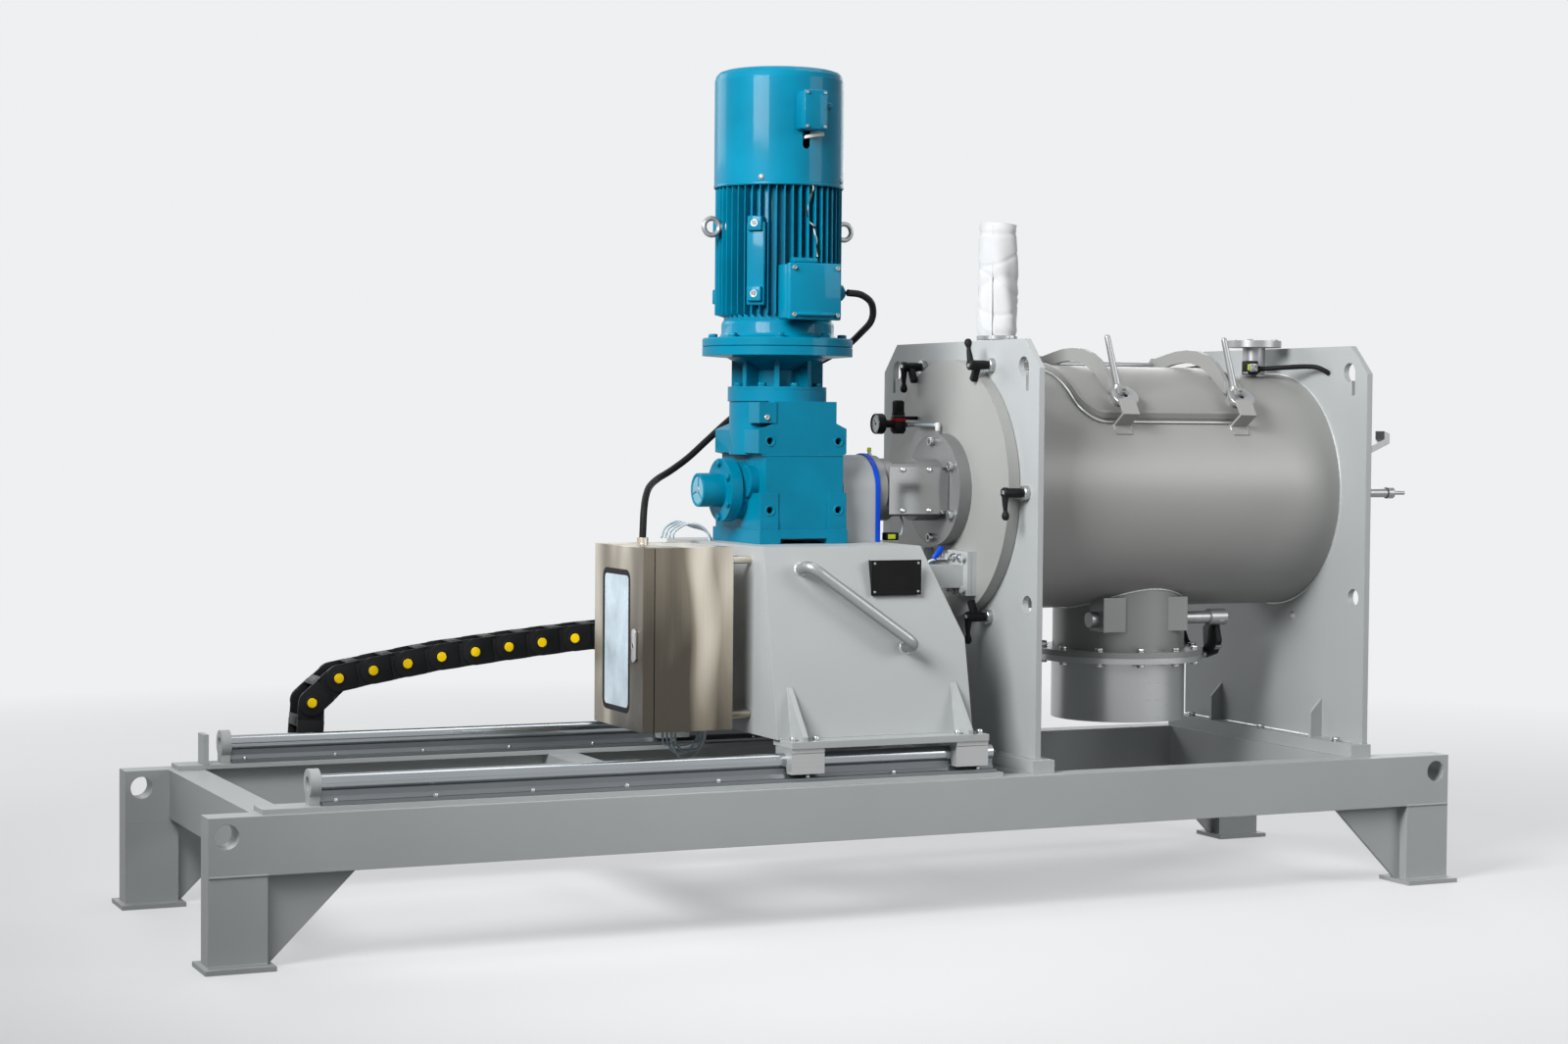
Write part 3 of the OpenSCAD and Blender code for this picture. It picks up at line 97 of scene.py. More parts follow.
# %% Fields and paints
class Field:
    def __init__(self, nodes, socket):
        self.nodes, self.socket = nodes, socket

    def _math(self, operation, *values):
        return self.nodes.node("ShaderNodeMath", values, operation=operation)[0]

    def __add__(self, other): return self._math("ADD", self, other)
    def __radd__(self, other): return self._math("ADD", other, self)
    def __sub__(self, other): return self._math("SUBTRACT", self, other)
    def __rsub__(self, other): return self._math("SUBTRACT", other, self)
    def __mul__(self, other): return self._math("MULTIPLY", self, other)
    def __rmul__(self, other): return self._math("MULTIPLY", other, self)

    def span(self, low, high, out_low=0.0, out_high=1.0):
        return self.nodes.node("ShaderNodeMapRange", (self, low, high, out_low, out_high))[0]

    def most(self, other):
        return self._math("MAXIMUM", self, other)


class Outputs:
    def __init__(self, nodes, made):
        self.nodes, self.made = nodes, made

    def __getitem__(self, key):
        return Field(self.nodes, self.made.outputs[key])


class Nodes:
    def __init__(self, tree):
        self.tree = tree

    def put(self, socket, value):
        if isinstance(value, Field):
            self.tree.links.new(value.socket, socket)
        else:
            socket.default_value = value

    def node(self, kind, sockets=(), **settings):
        made = self.tree.nodes.new(kind)
        for key, value in settings.items():
            setattr(made, key, value)
        for key, value in sockets.items() if isinstance(sockets, dict) else enumerate(sockets):
            self.put(made.inputs[key], value)
        return Outputs(self, made)

    def close(self, output, mixed):
        """Mix two shaders into the tree's output."""
        self.put(self.tree.nodes[output].inputs["Surface"], self.node("ShaderNodeMixShader", mixed)[0])


class Paint(Nodes):
    INPUTS = {"color": "Base Color", "rough": "Roughness", "metal": "Metallic", "normal": "Normal",
              "coat": "Coat Weight", "coat_rough": "Coat Roughness", "sheen": "Sheen Weight",
              "specular": "Specular IOR Level"}

    def __init__(self, name):
        self.material = bpy.data.materials.new(name)
        self.material.use_nodes = True
        super().__init__(self.material.node_tree)
        self.shader = self.tree.nodes["Principled BSDF"]
        self.place = self.node("ShaderNodeTexCoord")["Object"]

    def noise(self, scale, detail=2.0, stretch=(1, 1, 1)):
        place = self.place
        if stretch != (1, 1, 1):
            place = self.node("ShaderNodeMapping", {"Vector": place, "Scale": stretch})[0]
        return self.node("ShaderNodeTexNoise", {"Vector": place, "Scale": scale, "Detail": detail})["Fac"]

    def cloud(self, scale, detail=3):
        return self.noise(scale, detail).span(0.3, 0.7)

    def blend(self, factor, a, b):
        made = self.tree.nodes.new("ShaderNodeMix")
        made.data_type = "RGBA"
        for socket, value in zip((made.inputs[0], made.inputs[6], made.inputs[7]), (factor, a, b)):
            self.put(socket, (*value, 1) if isinstance(value, tuple) else value)
        return Field(self, made.outputs[2])

    def tone(self, factor, color, darker, lighter):
        """One colour, scaled from `darker` to `lighter` times itself."""
        return self.blend(factor, *(tuple(c * by for c in color) for by in (darker, lighter)))

    def bump(self, height, strength, distance, under=None):
        sockets = {"Height": height, "Strength": strength, "Distance": distance}
        if under is not None:
            sockets["Normal"] = under
        return self.node("ShaderNodeBump", sockets)["Normal"]

    def rounded(self, radius):
        return self.node("ShaderNodeBevel", {"Radius": radius}, samples=4)["Normal"]

    def finish(self, **values):
        for key, value in values.items():
            self.put(self.shader.inputs[self.INPUTS[key]], value)
        return self.material

print("node trees are written with Field, Nodes and Paint")

# %% [markdown]
# Most of the machine wears one satin grey: beads of glass shot at the steel leave an even, slightly
# sparkling tone with soft cloudy patches where the nozzle lingered. Fine noise drives the bump, a large
# one the tone, and the Bevel node rounds every edge of the loose CAD triangles in the shading alone.

# %% Blasted steel and painted steel
def blasted(name, color, rough=0.42, metal=0.55, grain=0.16, edge=0.0016):
    p = Paint(name)
    cloud, fine = p.cloud(3), p.noise(900, 1)
    return p.finish(color=p.tone(cloud * 0.5 + fine * 0.3, color, 0.94, 1.07), specular=0.35, metal=metal,
                    rough=cloud * 0.08 + (rough - 0.04), normal=p.bump(fine, grain, 0.0004, p.rounded(edge)))

frame_grey = blasted("frame_grey", (0.40, 0.42, 0.425), 0.46, 0.05)
drum_grey = blasted("drum_grey", (0.34, 0.342, 0.332), 0.42, 0.12)
# A darker copy of the drum's blasted steel for the hatch lid and its arms, which are the same steel as the drum:
# painted shade.
shaded_lid_grey = blasted("shaded_lid_grey", (0.275, 0.277, 0.269), 0.42, 0.12)
steel_grey = blasted("steel_grey", (0.33, 0.34, 0.345), 0.34, 0.6, 0.1, 0.001)
# A darker copy of the bright steel for the bearing housing: a painted shadow of the gearbox.
shaded_housing_grey = blasted("shaded_housing_grey", (0.21, 0.215, 0.215), 0.38, 0.4, 0.1, 0.001)
neck_steel = blasted("neck_steel", (0.27, 0.275, 0.27), 0.36, 0.3)
# Pale weld metal for the beads; on the hatch edges the same pale steel is a painted highlight.
weld_and_highlight_steel = blasted("weld_and_highlight_steel", (0.62, 0.63, 0.63), 0.3, 0.7, 0.3, 0.0005)

# %% [markdown]
# Turned and ground parts show fine lines along the way the tool went. A noise stretched hard along one
# axis gives them; which axis depends on the part, so it is a parameter.

# %% Bright steel and aluminium
def drawn(name, color, along="X", rough=0.28, metal=1.0):
    p = Paint(name)
    lines = p.noise(1.0, 2, tuple(4 if axis == along else 700 for axis in "XYZ"))
    return p.finish(color=p.tone(lines * 0.6 + p.cloud(5, 2) * 0.3, color, 0.86, 1.08), metal=metal,
                    rough=lines * 0.12 + (rough - 0.06), normal=p.bump(lines, 0.12, 0.0003, p.rounded(0.001)))

ground_steel = drawn("ground_steel", (0.36, 0.385, 0.40), "X", 0.16)
# Rails and bearing blocks are the same aluminium; the rails' much darker tone is painted shade.
rail_aluminium = drawn("rail_aluminium", (0.19, 0.205, 0.215), "X", 0.34, 0.8)
block_aluminium = drawn("block_aluminium", (0.46, 0.47, 0.47), "X", 0.4, 0.4)
pipe_steel = drawn("pipe_steel", (0.46, 0.47, 0.475), "X", 0.3, 0.7)
polished_steel = drawn("polished_steel", (0.50, 0.51, 0.51), "X", 0.14)
bright_steel = drawn("bright_steel", (0.46, 0.475, 0.475), "Z", 0.26, 0.9)

def folded_steel(name):
    """Brushed sheet with a painted reflection in its colour: tall soft light and dark bands, a painted glare band
    with a painted shade band beside it, and darker towards the bottom.
    """
    p = Paint(name)
    lines = p.noise(1.0, 2, (1100, 1100, 5))
    warp = p.noise(1.0, 2, (5.6, 5.6, 1.4)).span(0.36, 0.64)
    bulge = p.noise(1.0, 1, (5, 5, 3))
    place = p.node("ShaderNodeSeparateXYZ", {"Vector": p.place})
    # Painted highlight: a bright band of reflection painted into the colour near X = -0.33 m, with a dark band of
    # painted shade just beside it.
    glare = place["X"] + bulge * 0.09 + 0.33
    shade = glare + 0.055
    painted_glare_bands = (glare * glare).span(0, 0.0016, 0.30, 0) - (shade * shade).span(0, 0.0014, 0.08, 0)
    painted_reflection_and_grain = warp * 0.62 + place["Z"].span(0.44, 0.86, 0.0, 0.3) + lines * 0.1 + painted_glare_bands
    tone = p.blend(painted_reflection_and_grain.span(0.3, 0.55), (0.08, 0.071, 0.056), (0.26, 0.228, 0.178))
    tone = p.blend(painted_reflection_and_grain.span(0.55, 0.86), tone, (0.72, 0.665, 0.56))
    normal = p.bump(lines, 0.05, 0.0003, p.bump(bulge, 0.5, 0.004, p.rounded(0.0012)))
    return p.finish(color=tone, rough=lines * 0.1 + 0.24, metal=0.75, normal=normal)

box_steel = folded_steel("box_steel")

# %% [markdown]
# The drive is sprayed in a thick glossy blue over rough castings: an orange-peel surface, a clear coat
# and a little dust in soft patches.

# %% Blue gloss paint
def sprayed(name, color, rough, coat):
    p = Paint(name)
    cloud, cast = p.cloud(7), p.noise(260, 3)
    return p.finish(color=p.tone(cloud, color, 0.85, 1.1), rough=cloud * 0.1 + rough, metal=0.0, coat=coat,
                    coat_rough=0.07, specular=0.05, normal=p.bump(cast, 0.1, 0.001, p.rounded(0.0022)))

motor_blue = sprayed("motor_blue", (0.0, 0.170, 0.280), 0.36, 0.14)
cap_recess = sprayed("cap_recess", (0.16, 0.36, 0.46), 0.5, 0.02)

# %% Plastic, rubber and cloth
def moulded(name, color, rough=0.45, grain=0.2, scale=1400):
    p = Paint(name)
    cloud, fine = p.cloud(14), p.noise(scale, 1)
    return p.finish(color=p.tone(cloud, color, 1, 1.5), rough=cloud * 0.1 + rough, specular=0.14,
                    normal=p.bump(fine, grain, 0.0004, p.rounded(0.0008)))

black_plastic = moulded("black_plastic", (0.006, 0.0065, 0.007))
black_rubber = moulded("black_rubber", (0.006, 0.006, 0.006), 0.5)
plate_black = moulded("plate_black", (0.003, 0.003, 0.0035), 0.3, 0.03)
chain_black = moulded("chain_black", (0.0085, 0.009, 0.0095), 0.4, 0.12, 900)
cap_yellow = moulded("cap_yellow", (0.78, 0.52, 0.004), 0.38, 0.05, 500)
gauge_white = moulded("gauge_white", (0.72, 0.73, 0.72), 0.35, 0.03, 400)
red_ring = moulded("red_ring", (0.45, 0.012, 0.014), 0.35, 0.05)
tube_clear = moulded("tube_clear", (0.42, 0.50, 0.54), 0.18, 0.02)
pane_pale = moulded("pane_pale", (0.42, 0.50, 0.56), 0.2, 0.01, 60)
strip_blue = moulded("strip_blue", (0.002, 0.05, 0.42), 0.32, 0.03, 300)
cap_lime = moulded("cap_lime", (0.42, 0.50, 0.02), 0.4, 0.05)
wire_pale = moulded("wire_pale", (0.50, 0.50, 0.48), 0.5, 0.05)

def cloth(name, color):
    p = Paint(name)
    weave = p.node("ShaderNodeTexVoronoi", {"Vector": p.place, "Scale": 700.0})["Distance"]
    return p.finish(color=p.tone(p.cloud(20), color, 0.93, 1), rough=0.9, sheen=0.3,
                    normal=p.bump(weave, 0.3, 0.0006))

sleeve_white = cloth("sleeve_white", (0.62, 0.63, 0.64))
print("finishes:", len(bpy.data.materials))

# %% [markdown]
# Every CAD node gets the finish of what it is made of, except that the hatch lid and the bearing housing get darker
# copies of their steel: painted shade.

# %% Dress the CAD nodes
finish_of = {
    "frame_paint": frame_grey, "drum_steel": drum_grey, "bright_steel": steel_grey, "blue_paint": motor_blue,
    "black_plastic": black_plastic, "black_rubber": black_rubber, "rail_aluminium": rail_aluminium,
    "ground_steel": ground_steel, "sleeve_cloth": sleeve_white, "box_steel": box_steel, "plate_black": plate_black}
own_finish = {"bearing_blocks": block_aluminium, "outlet_pipe": pipe_steel, "guard_plates": polished_steel,
              "bearing_housing": shaded_housing_grey, "discharge_neck": neck_steel, "hatch_lid": shaded_lid_grey}
slot_of = {s["node"]: s["material_slot"] for s in frame["record"]["subparts"]}
for name, obj in node.items():
    obj.data.materials.clear()
    obj.data.materials.append(own_finish.get(name, finish_of[slot_of[name]]))
print("dressed", len(node), "nodes")

# %% [markdown]
# The finer pieces are drawn in millimetres, the unit of the real drawings. A few shapes make nearly all
# of a machine: a turned profile, a thick plate with broken edges, a bent tube and a block. Each helper
# returns a closed bmesh whose faces point outwards, and `Body` gathers them into one piece.

# %% Turned, cut and bent shapes
def at(x, y, z):
    return Matrix.Translation((x, y, z))

def spin(degrees, axis):
    return Matrix.Rotation(radians(degrees), 4, axis)

def polar(r, degrees):
    return r * cos(radians(degrees)), r * sin(radians(degrees))

def evenly(count):
    return [2 * pi * k / count for k in range(count)]

def outward(bm):
    bmesh.ops.recalc_face_normals(bm, faces=bm.faces)
    return bm

def skin(bm, rings):
    """Faces between rings of equally many vertices."""
    for a, b in zip(rings, rings[1:]):
        for k in range(len(a)):
            j = (k + 1) % len(a)
            bm.faces.new((a[k], a[j], b[j], b[k]))

def turned(profile, steps):
    """Profile of (radius, height) pairs turned round Z; closed on itself unless it ends on the axis."""
    bm, angles = bmesh.new(), evenly(steps)
    rings = [[bm.verts.new((0, 0, h))] if r < 1e-6 else
             [bm.verts.new((r * cos(a), r * sin(a), h)) for a in angles] for r, h in profile]
    pairs = list(zip(rings, rings[1:]))
    if len(rings[0]) > 1 and len(rings[-1]) > 1:
        pairs.append((rings[-1], rings[0]))
    for low, high in pairs:
        for k in range(steps):
            j = (k + 1) % steps
            corners = [low[k % len(low)], low[j % len(low)], high[j % len(high)], high[k % len(high)]]
            corners = [v for n, v in enumerate(corners) if v not in corners[:n]]
            if len(corners) > 2:
                bm.faces.new(corners)
    return outward(bm)

def solid(profile, steps):
    """A turned profile with flat ends that reach the axis."""
    return turned([(0, profile[0][1]), *profile, (0, profile[-1][1])], steps)

def rod(r, low, high, steps):
    return solid([(r, low), (r, high)], steps)

def plate(outline, thick, edge=0.0, segments=2, over=30):
    """Outline in X and Y, from Z = 0 up to its thickness; edges sharper than `over` degrees are broken."""
    bm = bmesh.new()
    low, high = ([bm.verts.new((x, y, z)) for x, y in outline] for z in (0, thick))
    bm.faces.new(low[::-1])
    bm.faces.new(high)
    skin(bm, [low, high])
    outward(bm)
    if edge:
        bmesh.ops.bevel(bm, geom=[e for e in bm.edges if e.calc_face_angle(0) > radians(over)], offset=edge,
                        segments=segments, profile=0.5, affect="EDGES", clamp_overlap=True)
        outward(bm)
    return bm

def block(size, edge, segments, centre=(0, 0, 0)):
    x, y, z = (v / 2 for v in size)
    bm = plate([(-x, -y), (x, -y), (x, y), (-x, y)], size[2], edge, segments)
    bmesh.ops.translate(bm, vec=Vector(centre) - Vector((0, 0, z)), verts=bm.verts)
    return bm

def eased(points, steps=6):
    """Smooth curve through the points (Catmull-Rom)."""
    p = [Vector(v) for v in points]
    p = [2 * p[0] - p[1]] + p + [2 * p[-1] - p[-2]]
    out = []
    for a, b, c, d in zip(p, p[1:], p[2:], p[3:]):
        for t in (k / steps for k in range(steps)):
            out.append(0.5 * (2 * b + (c - a) * t + (2 * a - 5 * b + 4 * c - d) * t * t
                              + (3 * b - a - 3 * c + d) * t ** 3))
    return out + [p[-2]]

def tube(path, radius, sides):
    """Round bar swept along a path; radius is one number or one for each point."""
    path = [Vector(v) for v in path]
    radii = radius if isinstance(radius, list) else [radius] * len(path)
    heads = [(path[min(i + 1, len(path) - 1)] - path[max(i - 1, 0)]).normalized() for i in range(len(path))]
    side = heads[0].orthogonal().normalized()
    bm, rings = bmesh.new(), []
    for place, head, r in zip(path, heads, radii):
        side = (side - head * side.dot(head)).normalized()
        other = head.cross(side)
        rings.append([bm.verts.new(place + r * (cos(t) * side + sin(t) * other)) for t in evenly(sides)])
    skin(bm, rings)
    bm.faces.new(rings[0][::-1])
    bm.faces.new(rings[-1])
    return outward(bm)

def facing(place, direction, roll=0.0):
    """Matrix that puts a shape's Z axis along a direction, at a place."""
    turn = Vector(direction).normalized().to_track_quat("Z", "Y").to_matrix().to_4x4()
    return Matrix.Translation(place) @ turn @ spin(roll, "Z")

LEFT, RIGHT, FRONT, UP = (-1, 0, 0), (1, 0, 0), (0, -1, 0), (0, 0, 1)

class Body:
    """One piece, gathered from shapes; each shape may wear another of the piece's finishes."""
    def __init__(self, *finishes):
        self.bm, self.finishes = bmesh.new(), finishes

    def add(self, shape, matrix=None, wear=0):
        mesh = shape
        if isinstance(shape, bmesh.types.BMesh):
            mesh = bpy.data.meshes.new("shape")
            shape.to_mesh(mesh)
            shape.free()
        if matrix is not None:
            mesh.transform(matrix)
        mesh.polygons.foreach_set("material_index", [wear] * len(mesh.polygons))
        self.bm.from_mesh(mesh)
        bpy.data.meshes.remove(mesh)
        return self

    def hose(self, points, r, sides, wear=0):
        return self.add(tube(eased(points), r, sides), None, wear)

    def mark(self, part, places, wear=0):
        """A part at every matrix in `places`."""
        marks = bpy.data.meshes.new("marks")
        marks.from_pydata([m.translation for m in places], [], [])
        turns = marks.attributes.new("turn", "FLOAT_VECTOR", "POINT")
        turns.data.foreach_set("vector", [v for m in places for v in m.to_euler()])
        return self.add(grown(at_marks, marks, part, Size=1.0, Finish=self.finishes[wear]), None, wear)

    def ring(self, part, count, radius, matrix):
        """A part, `count` times round the Z axis."""
        none = bpy.data.meshes.new("none")
        return self.add(grown(round_axis, none, part, Count=count, Radius=radius, Finish=self.finishes[0]), matrix)

    def done(self, name, body, slot, replaces=(), sharp=35):
        bmesh.ops.scale(self.bm, vec=(0.001,) * 3, verts=self.bm.verts)
        mesh = bpy.data.meshes.new(name)
        self.bm.to_mesh(mesh)
        self.bm.free()
        for finish in self.finishes:
            mesh.materials.append(finish)
        mesh.shade_smooth()
        mesh.set_sharp_from_angle(angle=radians(sharp))
        obj = placed(name, mesh)
        if body:
            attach(obj, body)
        if replaces:
            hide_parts(*replaces)
        mesh.calc_loop_triangles()
        print(name, len(mesh.loop_triangles), "triangles")
        return obj

# %% [markdown]
# Screws, fins and chain links repeat, so Geometry Nodes place them. One tree puts a part at marks, loose
# points that carry a turn; the other sets it out evenly round an axis. Both end in Realize Instances and
# Set Material, and the result is read back as a plain mesh.

# %% Two trees that repeat a part
def repeat_tree(name, inputs, layout):
    """`layout` gives the points to stand on, and how a part is turned and scaled there."""
    tree = bpy.data.node_groups.new(name, "GeometryNodeTree")
    for title, kind in {**inputs, "Part": "Object", "Finish": "Material"}.items():
        tree.interface.new_socket(title, in_out="INPUT", socket_type="NodeSocket" + kind)
    tree.interface.new_socket("Pieces", in_out="OUTPUT", socket_type="NodeSocketGeometry")
    nodes = Nodes(tree)
    given = nodes.node("NodeGroupInput")
    part = nodes.node("GeometryNodeObjectInfo", {"Object": given["Part"]})["Geometry"]
    flow = nodes.node("GeometryNodeInstanceOnPoints", {"Instance": part, **layout(nodes, given)})[0]
    flow = nodes.node("GeometryNodeRealizeInstances", {"Geometry": flow})[0]
    flow = nodes.node("GeometryNodeSetMaterial", {"Geometry": flow, "Material": given["Finish"]})[0]
    nodes.node("NodeGroupOutput", (flow,))
    return tree

def marks_layout(nodes, given):
    turn = nodes.node("GeometryNodeInputNamedAttribute", {"Name": "turn"}, data_type="FLOAT_VECTOR")[0]
    rotation = nodes.node("FunctionNodeEulerToRotation", (turn,))[0]
    return {"Points": given["Marks"], "Rotation": rotation, "Scale": given["Size"]}

def round_layout(nodes, given):
    ring = nodes.node("GeometryNodeMeshCircle", {"Vertices": given["Count"], "Radius": given["Radius"]})[0]
    place = nodes.node("GeometryNodeInputPosition")[0]
    aim = nodes.node("FunctionNodeAlignRotationToVector", {"Vector": place}, axis="X")[0]
    return {"Points": ring, "Rotation": aim}

at_marks = repeat_tree("part_at_marks", {"Marks": "Geometry", "Size": "Float"}, marks_layout)
round_axis = repeat_tree("part_round_axis", {"Count": "Int", "Radius": "Float"}, round_layout)

def grown(tree, marks, part, **values):
    """Run a tree on a throwaway object and return what it makes as a plain mesh."""
    mesh = bpy.data.meshes.new("part")
    part.to_mesh(mesh)
    part.free()
    values["Part"], holder = placed("part", mesh), placed("grower", marks)
    modifier = holder.modifiers.new("grow", "NODES")
    modifier.node_group = tree
    for item in tree.interface.items_tree:
        if item.in_out == "INPUT" and item.name in values:
            modifier[item.identifier] = values[item.name]
    mesh = bpy.data.meshes.new_from_object(holder.evaluated_get(bpy.context.evaluated_depsgraph_get()))
    for obj in (values["Part"], holder):
        bpy.data.objects.remove(obj)
    return mesh

# %% Screws and nuts, drawn once
def hexagon(across):
    return [polar(across / 1.732, a) for a in range(0, 360, 60)]

def hex_screw(d):
    """Head with a washer, and the rounded crown a hexagon is turned to."""
    crown = turned([(0, 0.7 * d), (0.66 * d, 0.7 * d), (0.6 * d, 0.86 * d), (0, 0.88 * d)], 18)
    head = plate(hexagon(1.6 * d), 0.65 * d, 0.06 * d, 1)
    return Body().add(rod(d, 0, 0.16 * d, 20)).add(head, at(0, 0, 0.16 * d)).add(crown).bm

def cap_screw(d):
    """Round head with a socket."""
    r = 0.8 * d
    return turned([(0, 0), (r, 0), (r, 0.9 * d), (r * 0.92, d), (0.5 * d, d), (0.46 * d, 0.5 * d), (0, 0.45 * d)], 18)

def acorn_nut(d):
    dome = [(0, 0.7 * d), (0.74 * d, 0.7 * d)] + [(0.74 * d * cos(a), 0.8 * d + 0.8 * d * sin(a))
                                                 for a in (0, 0.4, 0.8, 1.2)] + [(0, 1.6 * d)]
    head = plate(hexagon(1.7 * d), 0.8 * d, 0.06 * d, 1)
    return Body().add(rod(d, 0, 0.15 * d, 20)).add(head).add(turned(dome, 18)).bm

def round_screw(d):
    """Low round head with a cross."""
    return turned([(0, 0), (d, 0), (0.94 * d, 0.28 * d), (0.6 * d, 0.52 * d), (0.18 * d, 0.6 * d),
                   (0.15 * d, 0.3 * d), (0, 0.28 * d)], 16)

print("helpers ready")

# %% [markdown]
# The motor is the tallest and most coloured piece. Its housing is cast iron: fins as thick as a finger
# at the root and thinner at the tip, pads for feet that this mounting doesn't use, and forged lifting
# eyes. The fins are one mesh set out round the axis by Geometry Nodes.

# %% Motor housing
AXIS, MOTOR_X = 948, -88.0      # height of the drum's axis; place of the motor's

def fin():
    section = [(120, -2.1), (144.5, -1.4), (146.6, -0.9), (147, 0), (146.6, 0.9), (144.5, 1.4), (120, 2.1)]
    bm = plate(section, 306)
    for v in bm.verts:
        if v.co.x > 143:
            v.co.z += 7 if v.co.z < 150 else -7
    return outward(bm)

def lifting_eye(side):
    eye = Body().add(turned([(19 + 6 * cos(t), 6 * sin(t)) for t in evenly(14)], 36), spin(90, "X"))
    neck = [(13, -14), (13.5, -9), (10, -7), (8.5, 0), (8.5, 6)]
    return eye.add(solid(neck, 24), facing((-side * 22, 0, 0), (side, 0, 0))).bm

motor = Body(motor_blue, steel_grey)
up = at(MOTOR_X, 0, 0)
motor.add(turned([(0, 1278), (172.5, 1278), (175, 1280.5), (175, 1296), (172.5, 1299), (142, 1299), (134, 1304),
                  (131, 1311), (131, 1330), (129, 1337), (125.5, 1341), (125.5, 1655), (123, 1659), (40, 1660),
                  (36, 1664), (8, 1664), (8, 1866), (0, 1867)], 96), up)
motor.ring(fin(), 48, 0.001, at(MOTOR_X, 0, 1346) @ spin(3.75, "Z"))
for a in (225, 135):
    stand = up @ spin(a, "Z")
    motor.add(block((28, 44, 190), 4, 3, (134.5, 0, 1466)), stand)
    for z in (1397, 1557):
        motor.add(block((28, 34, 34), 3, 3, (144, 0, z)), stand)
        motor.add(solid([(5, 0), (6.5, 1.2), (8.5, 1.2), (8.5, 0), (9.5, -3)], 20),
                  stand @ facing((158, 0, z), RIGHT), 1)
for side in (-1, 1):
    motor.add(lifting_eye(side), at(MOTOR_X + side * 169, 0, 1553), 1)
motor.ring(hex_screw(12), 8, 150.0, at(MOTOR_X, 0, 1299) @ spin(22.5, "Z"))
motor.done("motor_housing", "carriage", "blue_paint", ["motor_body"])

# %% [markdown]
# The two terminal boxes have loose lids: a lid stands a little proud of its box over a dark seam, with
# a screw in each corner and cast ribs below. Their glands are a hexagon, a domed nut and the cable.

# %% Terminal boxes and glands
def gland(r, length):
    dome = solid([(r * 0.86, length * 0.3), (r * 0.86, length * 0.75), (r * 0.6, length), (r * 0.42, length)], 28)
    return Body().add(plate(hexagon(1.9 * r), length * 0.35, 0.8, 1)).add(dome).bm

boxes = Body(motor_blue, black_rubber, steel_grey)
def lidded_box(low, high, lid, screw_in, d):
    (x0, y0, z0), (x1, y1, z1) = low, high
    x, y, z = ((a + b) / 2 for a, b in zip(low, high))
    wide, deep, tall = x1 - x0, y1 - y0, z1 - z0
    boxes.add(block((wide - 3, deep - lid - 1.5, tall - 3), 5, 3, (x, y + lid / 2 + 0.75, z)))
    boxes.add(block((wide - 7, 2.5, tall - 7), 0.2, 1, (x, y0 + lid + 0.7, z)), wear=1)
    boxes.add(block((wide, lid, tall), 3.5, 3, (x, y0 + lid / 2, z)))
    corners = [(x, z) for x in (x0 + screw_in, x1 - screw_in) for z in (z0 + screw_in, z1 - screw_in)]
    boxes.mark(cap_screw(d), [facing((x, y0, z), FRONT, 17 * n) for n, (x, z) in enumerate(corners)], 2)

lidded_box((-153, -205, 1337), (-23, -138, 1465), 15, 11, 6)
lidded_box((-117, -200, 1766), (-59, -147, 1856), 11, 7, 4)
boxes.add(gland(21, 22), facing((-24, -172, 1401), RIGHT))
boxes.add(gland(11, 23), facing((-60, -176, 1822), RIGHT))
boxes.add(block((62, 26, 12), 3, 2, (-88, -140, 1474)))
boxes.add(block((90, 20, 8), 2, 2, (-88, -206, 1350)))
boxes.done("terminal_box_set", "carriage", "blue_paint", ["terminal_boxes"])

# %% [markdown]
# Small castings and screws go over the gearbox, the adapter and the cowl, whose CAD shapes stay. Each
# add-on sits on the CAD face that carries it.

# %% Gearbox, adapter and cowl fittings
fit = Body(motor_blue, black_rubber, steel_grey)
LOWER_FRONT, UPPER_FRONT = -127.0, -125.0
for z, y in ((904, LOWER_FRONT), (1062, UPPER_FRONT)):
    for x in (-161, 12):
        hole = facing((x, y, z), FRONT)
        fit.add(turned([(8.1, -6), (8.1, 0.5), (9.4, 1.2), (12.4, 1.2), (13.4, 0), (13.4, -0.6)], 26), hole)
        # A black disc deep in each hole: painted shade at the hole's bottom.
        fit.add(rod(7.9, -16, -15.4, 20), hole, 1)
for a in range(0, 360, 60):
    y, z = polar(62, a + 30)
    fit.add(hex_screw(9), facing((-232, y, AXIS + z), LEFT, a))
fit.add(turned([(0, 0), (6.5, 0), (6.5, 2.5), (5.5, 3.5), (3, 3.5), (3, 1.5), (0, 1.5)], 24),
        facing((-171, LOWER_FRONT, 1116), FRONT), 2)
fit.add(block((206, 1.4, 3.2), 0.5, 2, (-79, UPPER_FRONT - 0.2, 1029)))
fit.ring(hex_screw(11), 8, 98.0, at(MOTOR_X, 0, 1187))
for k in range(4):
    x, y = polar(1, 90 * k + 50)
    fit.add(round_screw(7), facing((MOTOR_X + 150 * x, 150 * y, 1662), (x, y, 0)), 2)
fit.add(turned([(150, 1646), (151, 1647), (151.2, 1650), (150.2, 1652), (149, 1649)], 96), up)
fit.done("drive_fittings", "carriage", "blue_paint")

# %% [markdown]
# The energy chain is moulded in black, with a yellow pin in every joint that faces the front. A link is
# two side plates with a stepped lap, two crossbars that snap over them, and the pins. The links are set
# out on the same pins as the CAD chain, at the angle each one has there.

# %% Energy chain
PITCH, HIGH, WIDE, MID_Y = 85.0, 64.0, 84.0, 497.0

